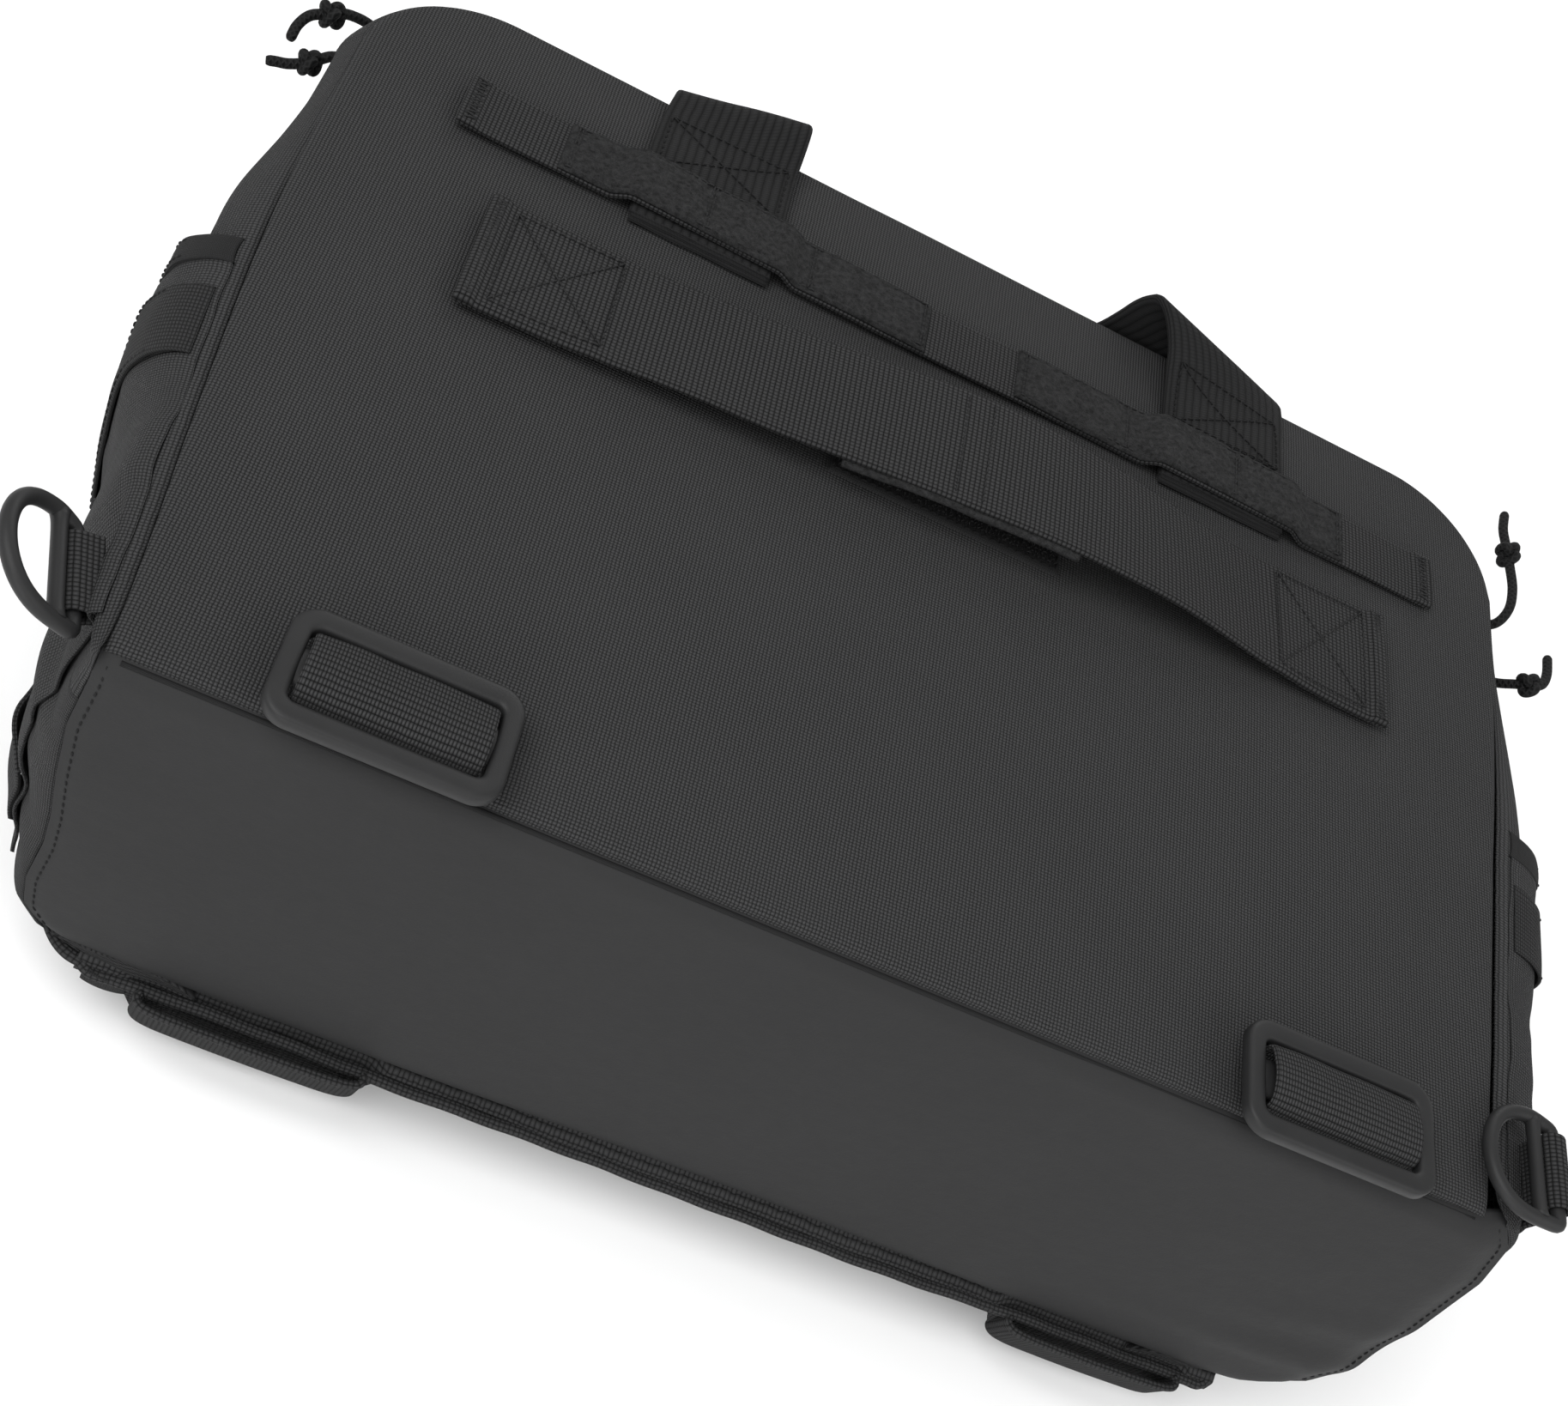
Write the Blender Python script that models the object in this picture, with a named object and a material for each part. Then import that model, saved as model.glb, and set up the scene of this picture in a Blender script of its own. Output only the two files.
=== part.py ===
"""Soft briefcase-style tail bag, lying on its front with the back panel up.

Bag frame used for modelling, in metres:
  x  across the back panel, + to the wearer's right when looking at the panel
  y  up the back panel, from the base seam to the top edge
  z  out of the back panel, so the front of the bag is at negative z
The empty "bag_frame" carries that frame; it is shifted so that the whole
bag's box stands centred on the world origin, with its lowest point at z = 0.
"""
import math

import bmesh
import bpy
from mathutils import Vector

MM = 0.001
GAP = 0.0003

# ---- driving dimensions (metres) -------------------------------------------
PANEL_HALF_BASE = 0.2060   # half width of the back panel at the base seam
PANEL_GAIN = 0.0145        # extra half width higher up
PANEL_HEIGHT = 0.3010
CORNER_R = 0.0440          # top corners of the back panel
DEPTH = 0.1430             # back panel to front panel, along the base
SKIN = 0.0025              # padded gusset thickness
PANEL_T = 0.0030
SIDE_BULGE = 0.0100        # the lower sides swell outwards
TOP_TAPER = 0.0200         # the top of the bag slopes in towards the front
FRONT_EDGE_R = 0.0080      # extra pull-in where the gusset meets the front
ZIP_END_Y = 0.2220         # both zips end here on either side
ZIP_W = 0.0114
REAR_ZIP_Z = -0.0300
MAIN_ZIP_Z = -0.0720
WEB50 = 0.0500
WEB25 = 0.0250
WEB_T = 0.0016
HANDLE_X = 0.0990
HANDLE_T = 0.0032
SLIDE_W, SLIDE_H, SLIDE_T = 0.0620, 0.0360, 0.0045
RING_WIRE = 0.0022
CORD_R = 0.0018
# the bag frame's place in the world
SHIFT_X, SHIFT_Y, SHIFT_Z = 0.0, -0.171149, 0.1764

for old in list(bpy.data.objects):
    bpy.data.objects.remove(old, do_unlink=True)

COLORS = {
    "woven": ((0.040, 0.040, 0.041), 0.88, 0.0),
    "coated": ((0.046, 0.046, 0.047), 0.72, 0.0),
    "webbing": ((0.032, 0.032, 0.033), 0.80, 0.0),
    "handle_webbing": ((0.021, 0.021, 0.022), 0.75, 0.0),
    "loop_tape": ((0.036, 0.036, 0.037), 0.95, 0.0),
    "plastic": ((0.050, 0.050, 0.051), 0.55, 0.0),
    "cord": ((0.014, 0.014, 0.015), 0.80, 0.0),
    "zip": ((0.020, 0.020, 0.021), 0.60, 0.0),
    "slider": ((0.030, 0.030, 0.032), 0.40, 0.3),
    "foam": ((0.080, 0.080, 0.085), 0.90, 0.0),
    "board": ((0.060, 0.060, 0.060), 0.60, 0.0),
    "binding": ((0.028, 0.028, 0.029), 0.75, 0.0),
}


def material(kind, name):
    rgb, rough, metal = COLORS[kind]
    mat = bpy.data.materials.new(name + "_material")
    mat.use_nodes = True
    bsdf = mat.node_tree.nodes["Principled BSDF"]
    bsdf.inputs["Base Color"].default_value = (*rgb, 1.0)
    bsdf.inputs["Roughness"].default_value = rough
    bsdf.inputs["Metallic"].default_value = metal
    mat.diffuse_color = (*rgb, 1.0)
    return mat


root = bpy.data.objects.new("bag_frame", None)
root.location = (SHIFT_X, SHIFT_Y, SHIFT_Z)
bpy.context.scene.collection.objects.link(root)


def pivot_empty(name, place, parent=None):
    e = bpy.data.objects.new(name, None)
    bpy.context.scene.collection.objects.link(e)
    e.parent = parent or root
    base = Vector((0, 0, 0)) if parent is None else Vector(parent["place"])
    e.location = Vector(place) - base
    e["place"] = tuple(place)
    return e


def build(name, verts, faces, kind, pivot=None, sharp=40.0):
    """One closed mesh, its faces pointing out, hung on its pivot."""
    origin = Vector(pivot["place"]) if pivot else Vector((0, 0, 0))
    bm = bmesh.new()
    vs = [bm.verts.new(Vector(v) - origin) for v in verts]
    for f in faces:
        bm.faces.new([vs[i] for i in f])
    bmesh.ops.remove_doubles(bm, verts=bm.verts, dist=1e-6)
    bmesh.ops.recalc_face_normals(bm, faces=bm.faces)
    if bm.calc_volume(signed=True) < 0:
        bmesh.ops.reverse_faces(bm, faces=bm.faces)
    mesh = bpy.data.meshes.new(name)
    bm.to_mesh(mesh)
    bm.free()
    mesh.shade_smooth()
    mesh.set_sharp_from_angle(angle=math.radians(sharp))
    obj = bpy.data.objects.new(name, mesh)
    bpy.context.scene.collection.objects.link(obj)
    obj.parent = pivot or root
    obj.data.materials.append(material(kind, name))
    return obj


# ---- shape helpers -----------------------------------------------------------
def smooth(a, b, t):
    t = min(1.0, max(0.0, (t - a) / (b - a)))
    return t * t * (3 - 2 * t)


def grid_solid(name, outer, inner, kind, pivot=None):
    """A thick sheet between two point grids of the same layout."""
    n, m = len(outer), len(outer[0])
    verts = [p for row in outer for p in row] + [p for row in inner for p in row]
    o = lambda i, j: i * m + j
    q = lambda i, j: n * m + i * m + j
    faces = []
    for i in range(n - 1):
        for j in range(m - 1):
            faces.append((o(i, j), o(i + 1, j), o(i + 1, j + 1), o(i, j + 1)))
            faces.append((q(i, j), q(i, j + 1), q(i + 1, j + 1), q(i + 1, j)))
    for i in range(n - 1):
        faces.append((o(i, 0), q(i, 0), q(i + 1, 0), o(i + 1, 0)))
        faces.append((o(i, m - 1), o(i + 1, m - 1), q(i + 1, m - 1), q(i, m - 1)))
    for j in range(m - 1):
        faces.append((o(0, j), o(0, j + 1), q(0, j + 1), q(0, j)))
        faces.append((o(n - 1, j), q(n - 1, j), q(n - 1, j + 1), o(n - 1, j + 1)))
    return build(name, verts, faces, kind, pivot)


def prism(name, outline, z0, z1, kind, pivot=None):
    """A flat plate: an outline in x and y, from z0 to z1."""
    n = len(outline)
    verts = [(x, y, z0) for x, y in outline] + [(x, y, z1) for x, y in outline]
    faces = [tuple(range(n)), tuple(range(n, 2 * n))]
    for i in range(n):
        j = (i + 1) % n
        faces.append((i, j, n + j, n + i))
    return build(name, verts, faces, kind, pivot)


def profile_prism(name, line, thick, x0, x1, kind, pivot=None):
    """Webbing folded along x: a centre line in y and z, swept from x0 to x1."""
    left, right = [], []
    for i, (y, z) in enumerate(line):
        a = line[max(0, i - 1)]
        b = line[min(len(line) - 1, i + 1)]
        ty, tz = b[0] - a[0], b[1] - a[1]
        d = math.hypot(ty, tz)
        ny, nz = -tz / d, ty / d
        left.append((y + ny * thick / 2, z + nz * thick / 2))
        right.append((y - ny * thick / 2, z - nz * thick / 2))
    outer = [[(x0, y, z), (x1, y, z)] for y, z in left]
    inner = [[(x0, y, z), (x1, y, z)] for y, z in right]
    return grid_solid(name, outer, inner, kind, pivot)


def catmull(points, per):
    """A smooth curve through the points."""
    pts = [Vector(p) for p in points]
    ext = [pts[0] * 2 - pts[1]] + pts + [pts[-1] * 2 - pts[-2]]
    out = []
    for i in range(1, len(ext) - 2):
        p0, p1, p2, p3 = ext[i - 1:i + 3]
        for k in range(per):
            t = k / per
            out.append(0.5 * ((2 * p1) + (p2 - p0) * t + (2 * p0 - 5 * p1 + 4 * p2 - p3) * t * t
                              + (3 * p1 - p0 - 3 * p2 + p3) * t ** 3))
    out.append(pts[-1])
    return out


def tube(name, path, radius, sides, kind, closed=False, pivot=None):
    """A round bar along a path, either a closed ring or with flat ends."""
    pts = [Vector(p) for p in path]
    n = len(pts)
    tang = []
    for i in range(n):
        a = pts[(i - 1) % n] if closed or i > 0 else pts[0]
        b = pts[(i + 1) % n] if closed or i < n - 1 else pts[-1]
        tang.append((b - a).normalized())
    ref = Vector((0, 0, 1)) if abs(tang[0].z) < 0.9 else Vector((1, 0, 0))
    nrm = (ref - tang[0] * ref.dot(tang[0])).normalized()
    verts, faces = [], []
    for i in range(n):
        nrm = (nrm - tang[i] * nrm.dot(tang[i])).normalized()
        bi = tang[i].cross(nrm)
        for k in range(sides):
            a = 2 * math.pi * k / sides
            verts.append(pts[i] + nrm * (math.cos(a) * radius) + bi * (math.sin(a) * radius))
    for i in range(n if closed else n - 1):
        j = (i + 1) % n
        for k in range(sides):
            l = (k + 1) % sides
            faces.append((i * sides + k, i * sides + l, j * sides + l, j * sides + k))
    if not closed:
        faces.append(tuple(range(sides - 1, -1, -1)))
        faces.append(tuple((n - 1) * sides + k for k in range(sides)))
    return build(name, verts, faces, kind, pivot)


def ribbon(name, centre, across, up, widths, thick, kind, pivot=None):
    """A flat strap: centre points, unit vectors across it and through it."""
    outer, inner = [], []
    for c, a, u, w in zip(centre, across, up, widths):
        c, a, u = Vector(c), Vector(a).normalized(), Vector(u).normalized()
        outer.append([c - a * w / 2 + u * thick / 2, c + a * w / 2 + u * thick / 2])
        inner.append([c - a * w / 2 - u * thick / 2, c + a * w / 2 - u * thick / 2])
    return grid_solid(name, outer, inner, kind, pivot)


# ---- outline of the bag seen from behind -------------------------------------
def half_width(y):
    return PANEL_HALF_BASE + PANEL_GAIN * max(0.0, math.sin(math.pi / 2 * min(y / 0.215, 1.0))) ** 1.6


SIDE_TOP = PANEL_HEIGHT - CORNER_R
CORNER_X = half_width(SIDE_TOP) - CORNER_R


def arch(y_start, side_steps=8, arc_steps=7, top_steps=4):
    """Points and outward normals from the left side over the top to the right."""
    half = []
    for i in range(side_steps + 1):
        y = y_start + (SIDE_TOP - y_start) * i / side_steps
        slope = (half_width(y + 1e-4) - half_width(y - 1e-4)) / 2e-4
        d = math.hypot(1, slope)
        half.append((half_width(y), y, 1 / d, -slope / d))
    for i in range(1, arc_steps + 1):
        a = math.pi / 2 * i / arc_steps
        half.append((CORNER_X + CORNER_R * math.cos(a), SIDE_TOP + CORNER_R * math.sin(a), math.cos(a), math.sin(a)))
    for i in range(1, top_steps):
        half.append((CORNER_X * (1 - i / top_steps), PANEL_HEIGHT, 0.0, 1.0))
    left = [(-x, y, -nx, ny) for x, y, nx, ny in half]
    return left + [(0.0, PANEL_HEIGHT, 0.0, 1.0)] + half[::-1]


def swell(y, z):
    """How far the gusset stands outside the back panel's outline at depth z."""
    q = min(1.0, max(0.0, -z / DEPTH))
    low = 1.0 - smooth(0.130, 0.235, y)
    edge = max(0.0, (q - 0.84) / 0.16)
    return (low * SIDE_BULGE * math.sin(math.pi * q ** 0.75)
            - (1 - low) * TOP_TAPER * q ** 1.1 - FRONT_EDGE_R * edge ** 2)


def arch_strip(name, y_start, z0, z1, kind, steps, thick=SKIN, lift=0.0, side_steps=8):
    outer, inner = [], []
    for x, y, nx, ny in arch(y_start, side_steps):
        ro, ri = [], []
        for k in range(steps + 1):
            z = z0 + (z1 - z0) * k / steps
            s = swell(y, z) + lift
            ro.append((x + nx * s, y + ny * s, z))
            ri.append((x + nx * (s - thick), y + ny * (s - thick), z))
        outer.append(ro)
        inner.append(ri)
    return grid_solid(name, outer, inner, kind)


def side_patch(name, sign, y0, y1, z0, z1, kind, low_fn, high_fn, ny=6, nz=8):
    """A sheet over one side of the bag, between two heights above the gusset."""
    outer, inner = [], []
    for i in range(ny + 1):
        y = y0 + (y1 - y0) * i / ny
        slope = (half_width(y + 1e-4) - half_width(y - 1e-4)) / 2e-4
        d = math.hypot(1, slope)
        nx, nyy = 1 / d, -slope / d
        ro, ri = [], []
        for k in range(nz + 1):
            z = z0 + (z1 - z0) * k / nz
            s = swell(y, z)
            hi, lo = s + high_fn(y, z), s + low_fn(y, z)
            ro.append((sign * (half_width(y) + nx * hi), y + nyy * hi, z))
            ri.append((sign * (half_width(y) + nx * lo), y + nyy * lo, z))
        outer.append(ro)
        inner.append(ri)
    return grid_solid(name, outer, inner, kind)


# ---- the bag's shell -----------------------------------------------------------
back_outline = [(x, y) for x, y, _, _ in arch(0.0)]
prism("back_panel", back_outline, -PANEL_T, 0.0, "woven")

base_outer, base_inner = [], []
for k in range(13):
    z = -(PANEL_T + GAP) - (DEPTH - PANEL_T - GAP) * k / 12
    w = PANEL_HALF_BASE + swell(0.0, z)
    base_outer.append([(-w, 0.0, z), (w, 0.0, z)])
    base_inner.append([(-w, PANEL_T, z), (w, PANEL_T, z)])
grid_solid("base_panel", base_outer, base_inner, "coated")

LOW = PANEL_T + GAP
arch_strip("rear_gusset", LOW, -(PANEL_T + GAP), REAR_ZIP_Z + ZIP_W / 2 + GAP, "woven", 2, side_steps=10)
zb = REAR_ZIP_Z - ZIP_W / 2 - GAP
zm = MAIN_ZIP_Z + ZIP_W / 2 + GAP
arch_strip("middle_gusset", ZIP_END_Y, zb, zm, "woven", 2, side_steps=3)
arch_strip("front_gusset", ZIP_END_Y, MAIN_ZIP_Z - ZIP_W / 2 - GAP, -DEPTH, "woven", 4, side_steps=3)
arch_strip("rear_zip_tape", ZIP_END_Y, REAR_ZIP_Z + ZIP_W / 2, REAR_ZIP_Z - ZIP_W / 2, "zip", 1, thick=0.0018,
           lift=-0.0004, side_steps=3)
arch_strip("main_zip_tape", ZIP_END_Y, MAIN_ZIP_Z + ZIP_W / 2, MAIN_ZIP_Z - ZIP_W / 2, "zip", 1, thick=0.0018,
           lift=-0.0004, side_steps=3)
for side, sign in (("left", -1), ("right", 1)):
    side_patch("side_panel_" + side, sign, LOW, ZIP_END_Y - GAP, REAR_ZIP_Z + ZIP_W / 2, -DEPTH, "woven",
               lambda y, z: -SKIN, lambda y, z: 0.0, ny=7, nz=8)

front_s = swell(0.25, -DEPTH)
front_outline = []
for x, y, nx, ny in arch(0.0):
    s = swell(y, -DEPTH)
    front_outline.append((x + nx * s, y + ny * s))
front_outline[0] = (front_outline[0][0], 0.0)
front_outline[-1] = (front_outline[-1][0], 0.0)
FRONT_Z = -DEPTH - GAP
prism("front_panel", front_outline, FRONT_Z - PANEL_T, FRONT_Z, "woven")
FRONT_FACE = FRONT_Z - PANEL_T

# piping along the front panel's edge, all the way round
PIPE_R = 0.0021
PIPE_Z = FRONT_Z - 0.0020
pipe = []
for x, y, nx, ny in arch(0.016):
    s = swell(y, -DEPTH) + 0.0032
    pipe.append((x + nx * s, y + ny * s, PIPE_Z))
xb = PANEL_HALF_BASE - FRONT_EDGE_R
corner = []
for k in range(7):
    a = math.pi / 2 * k / 6
    corner.append((xb - 0.0040 + 0.0083 * math.cos(a), 0.0040 - 0.0083 * math.sin(a), PIPE_Z))
pipe += corner
pipe += [(xb - 0.0040 - 2 * (xb - 0.0040) * k / 12, -0.0043, PIPE_Z) for k in range(1, 12)]
pipe += [(-x, y, z) for x, y, z in corner[::-1]]
tube("front_piping", pipe, PIPE_R, 6, "webbing", closed=True)

# front pocket: an open tub, its mouth against the front panel
def rounded(x0, x1, y0, y1, r, per=4):
    out = []
    for cx, cy, a0 in ((x1 - r, y1 - r, 0), (x0 + r, y1 - r, 90), (x0 + r, y0 + r, 180), (x1 - r, y0 + r, 270)):
        for k in range(per + 1):
            a = math.radians(a0 + 90 * k / per)
            out.append((cx + r * math.cos(a), cy + r * math.sin(a)))
    return out


POCKET_Z = -0.1764
secs = [(FRONT_FACE - GAP, 0.1860, 0.0120, 0.2060), (-0.1600, 0.1850, 0.0190, 0.2050),
        (-0.1715, 0.1800, 0.0330, 0.2010), (POCKET_Z, 0.1700, 0.0500, 0.1920)]
WALL = 0.0024
outer, inner = [], []
for z, w, y0, y1 in secs:
    outer.append([(x, y, z) for x, y in rounded(-w, w, y0, y1, 0.026)])
    zi = z if z > -0.15 else z + (WALL if z < -0.165 else 0.0)
    inner.append([(x, y, zi) for x, y in rounded(-w + WALL, w - WALL, y0 + WALL, y1 - WALL, 0.024)])
n = len(outer[0])
verts = [p for row in outer for p in row] + [p for row in inner for p in row]
faces = []
m = len(secs)
for i in range(m - 1):
    for k in range(n):
        l = (k + 1) % n
        faces.append((i * n + k, i * n + l, (i + 1) * n + l, (i + 1) * n + k))
        faces.append(((m + i) * n + k, (m + i + 1) * n + k, (m + i + 1) * n + l, (m + i) * n + l))
for k in range(n):
    l = (k + 1) % n
    faces.append((k, m * n + k, m * n + l, l))
faces.append(tuple((m - 1) * n + k for k in range(n)))
faces.append(tuple((2 * m - 1) * n + k for k in range(n)))
build("front_pocket", verts, faces, "woven")

# lash loops at the front bottom edge: webbing that stands off the seam, tilted outwards
for side, x0, x1 in (("left", -0.166, -0.097), ("right", 0.126, 0.189)):
    bow = [(x0, 0.0), (x0 + 0.004, -0.0008), (x0 + 0.012, -0.0038), (x1 - 0.012, -0.0038), (x1 - 0.004, -0.0008),
           (x1, 0.0)]
    ribbon("front_lash_loop_" + side, [(x, -0.0060 + d, -0.1555) for x, d in bow], [(0, -0.25, 1)] * 6,
           [(0, 1, 0.25)] * 6, [0.0160] * 6, WEB_T, "webbing")

# ---- inside pieces ----------------------------------------------------------------
prism("back_foam", rounded(-0.196, 0.196, 0.010, 0.284, 0.030), -0.0090, -(PANEL_T + GAP), "foam")
prism("laptop_divider", rounded(-0.186, 0.186, 0.0062, 0.262, 0.026), -0.0560, -0.0510, "foam")
outer = [[(-0.186, 0.0036, z), (0.186, 0.0036, z)] for z in (-0.0110, -0.1370)]
inner = [[(-0.186, 0.0058, z), (0.186, 0.0058, z)] for z in (-0.0110, -0.1370)]
grid_solid("base_board", outer, inner, "board")

# ---- straps across the back panel ----------------------------------------------------
STRIP_Y = 0.1860


def strip_lift(x):
    """The wide strap is sewn down at both ends and bows off the panel between them."""
    return 0.0125 * math.sin(math.pi * min(1.0, max(0.0, (x + 0.122) / 0.240))) ** 1.5


xs = [-0.164 + 0.328 * k / 40 for k in range(41)]
cs = [(x, STRIP_Y + 0.0018 + 0.0130 * x, 0.0030 + strip_lift(x)) for x in xs]
ribbon("wide_strap", cs, [(0, 1, 0)] * 41, [(0, 0, 1)] * 41, [WEB50] * 41, WEB_T, "webbing")
prism("strap_hook_patch", rounded(-0.041, 0.041, 0.1672, 0.1935, 0.002, 1), GAP, 0.0017, "loop_tape")

THIN_Y = 0.2455


def thin_lift(x):
    base = 0.0016
    for c in (-HANDLE_X, HANDLE_X):
        d = abs(x - c)
        if d < 0.036:
            base = max(base, 0.0016 + 0.0036 * (1.0 - smooth(0.026, 0.036, d)))
    return base


STITCH = 0.004
xs = [STITCH * k for k in range(-46, 47)]
n = len(xs)
ribbon("thin_strap", [(x, THIN_Y, thin_lift(x)) for x in xs], [(0, 1, 0)] * n, [(0, 0, 1)] * n, [WEB25] * n,
       WEB_T, "webbing")
for side, k0, k1 in (("left", -37, -5), ("right", 4, 37)):
    xs = [STITCH * k for k in range(k0, k1 + 1)]
    n = len(xs)
    ribbon("loop_tape_" + side, [(x, THIN_Y, thin_lift(x) + WEB_T / 2 + GAP + 0.0008) for x in xs],
           [(0, 1, 0)] * n, [(0, 0, 1)] * n, [0.0240] * n, 0.0016, "loop_tape")

# ---- carry handles -----------------------------------------------------------------
for side, sign in (("left", -1), ("right", 1)):
    x0, x1 = sign * HANDLE_X - WEB50 / 2, sign * HANDLE_X + WEB50 / 2
    prism("back_handle_end_" + side, [(x0, 0.232), (x1, 0.232), (x1, 0.2960), (x0, 0.2960)], GAP, GAP + HANDLE_T,
          "handle_webbing")
    prism("front_handle_end_" + side, [(x0, 0.2120), (x1, 0.2120), (x1, 0.2660), (x0, 0.2660)],
          FRONT_FACE - GAP - HANDLE_T, FRONT_FACE - GAP, "handle_webbing")


def handle(name, pivot, route, reach, legs):
    """A U-shaped strap: two legs that turn into one grip bar.

    route(s) gives y, z and the strap's own normal at distance s from the hinge.
    """
    half = [(HANDLE_X, 0.00275 * k) for k in range(7)] + [(HANDLE_X - 0.001, legs)]
    steps = 9
    ax, ay = HANDLE_X - 0.001, reach - 0.022 - legs
    for k in range(1, steps + 1):
        a = math.pi / 2 * k / steps
        half.append((ax * math.cos(a) ** 0.9, legs + ay * math.sin(a) ** 0.9))
    full = [(-x, s) for x, s in half] + [(x, s) for x, s in half[-2::-1]]
    outer, inner = [], []
    m = len(full)
    for i, (x, s) in enumerate(full):
        a, b = full[max(0, i - 1)], full[min(m - 1, i + 1)]
        t = Vector((b[0] - a[0], b[1] - a[1])).normalized()
        if i in (0, m - 1):
            t = Vector((0, 1 if i == 0 else -1))
        w = Vector((t.y, -t.x))
        width = WEB50 - 0.008 * smooth(0.4, 1.0, s / reach)
        ro, ri = [], []
        for f in (-0.5, 0.5):
            px, ps = x + w.x * width * f, s + w.y * width * f
            y, z, n_y, n_z = route(max(0.0, ps))
            ro.append((px, y + n_y * HANDLE_T / 2, z + n_z * HANDLE_T / 2))
            ri.append((px, y - n_y * HANDLE_T / 2, z - n_z * HANDLE_T / 2))
        outer.append(ro)
        inner.append(ri)
    return grid_solid(name, outer, inner, "handle_webbing", pivot)


def over_the_top(s):
    """Up past the panel's edge, then back over the top of the bag."""
    y0, z0, r = 0.2993, GAP + HANDLE_T / 2, 0.0105
    quarter = r * math.pi / 2
    if s < quarter:
        a = s / r
        return y0 + r * math.sin(a), z0 - r * (1 - math.cos(a)), math.sin(a), math.cos(a)
    d = s - quarter
    return y0 + r + 0.00 * d, z0 - r - d, 1.0, 0.0


def down_to_floor(s):
    """Straight on from the front panel, drooping to the ground."""
    a = math.radians(16.5) * smooth(0.0, 0.020, s)
    return 0.2695 + s * math.cos(a), FRONT_FACE - GAP - HANDLE_T / 2 - 0.0014 - s * math.sin(a), math.sin(a), math.cos(a)


BACK_HINGE = (0.0, 0.2983, GAP + HANDLE_T / 2)
FRONT_HINGE = (0.0, 0.2685, FRONT_FACE - GAP - HANDLE_T / 2 - 0.0014)
back_pivot = pivot_empty("back_handle_pivot", BACK_HINGE)
front_pivot = pivot_empty("front_handle_pivot", FRONT_HINGE)
handle("back_handle_loop", back_pivot, over_the_top, 0.104, 0.036)
handle("front_handle_loop", front_pivot, down_to_floor, 0.088, 0.026)

# ---- strap slides at the bottom of the back panel --------------------------------------
for side, cx, y0 in (("left", -0.1395, -0.0050), ("right", 0.1400, -0.0070)):
    hinge = (cx, 0.0, 0.0012)
    pv = pivot_empty("slide_pivot_" + side, hinge)
    z0 = 0.0057
    plate = prism("strap_slide_" + side, rounded(cx - SLIDE_W / 2, cx + SLIDE_W / 2, y0, y0 + SLIDE_H, 0.007, 3),
                  z0, z0 + SLIDE_T, "plastic", pv)
    for tag, a, b in (("low", 0.0065, 0.0110), ("high", 0.0250, 0.0300)):
        slot = prism("slot_cutter_" + tag + "_" + side,
                     rounded(cx - 0.0255, cx + 0.0255, y0 + a, y0 + b, 0.0015, 2), z0 - 0.01, z0 + 0.02, "plastic", pv)
        slot.hide_render = True
        slot.display_type = "WIRE"
        cut = plate.modifiers.new("slot_" + tag, "BOOLEAN")
        cut.operation = "DIFFERENCE"
        cut.solver = "EXACT"
        cut.object = slot
    o = y0 + 0.005
    line = [(0.0022, 0.0014), (o + 0.0200, 0.0014), (o + 0.0221, 0.0024), (o + 0.0229, 0.0044), (o + 0.0229, 0.0095),
            (o + 0.0220, 0.0113), (o + 0.0198, 0.0121), (o + 0.0060, 0.0121), (o + 0.0040, 0.0112),
            (o + 0.0034, 0.0094), (o + 0.0034, 0.0056), (0.0030, 0.0040)]
    if y0 < -0.006:
        line[-1] = (0.0024, 0.0036)
    profile_prism("slide_web_" + side, line, 0.0015, cx - 0.0245, cx + 0.0245, "webbing", pv)

# ---- D-rings at the lower corners -------------------------------------------------------
def ring_frame(turn, swing):
    """Directions along the ring's bar and out from it: turned in the panel's plane, then swung up."""
    a, s = math.radians(turn), math.radians(swing)
    bar = Vector((-math.sin(a), math.cos(a), 0))
    out = Vector((-math.cos(a), -math.sin(a), 0)) * math.cos(s) + Vector((0, 0, math.sin(s)))
    return bar, out


def d_path(centre, bar, out, slot, length, reach):
    """A D with a webbing slot: a bar, two short sides and a bow."""
    pts, h, c = [], length / 2, Vector(centre)
    for k in range(9):
        pts.append(c + bar * (-h + length * k / 8))
    for k in range(20):
        a = math.pi * k / 19
        pts.append(c + out * (slot + reach * math.sin(a) ** 0.75) + bar * (h * math.cos(a)))
    return pts


RING_L = (-0.2219, 0.0234, -0.0079)
RING_R = (0.2186, 0.0216, 0.0040)
RING_TURN, RING_SWING = 19.0, 41.0
ring_lp = pivot_empty("d_ring_pivot_left", RING_L)
ring_rp = pivot_empty("d_ring_pivot_right", RING_R)
tube("d_ring_left", d_path(RING_L, *ring_frame(RING_TURN, RING_SWING), 0.0060, 0.033, 0.0175), RING_WIRE, 8, "plastic",
     closed=True, pivot=ring_lp)
tube("d_ring_right", d_path(RING_R, *ring_frame(0, 0), 0.0065, 0.033, 0.0165), RING_WIRE, 8, "plastic", closed=True,
     pivot=ring_rp)


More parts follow.
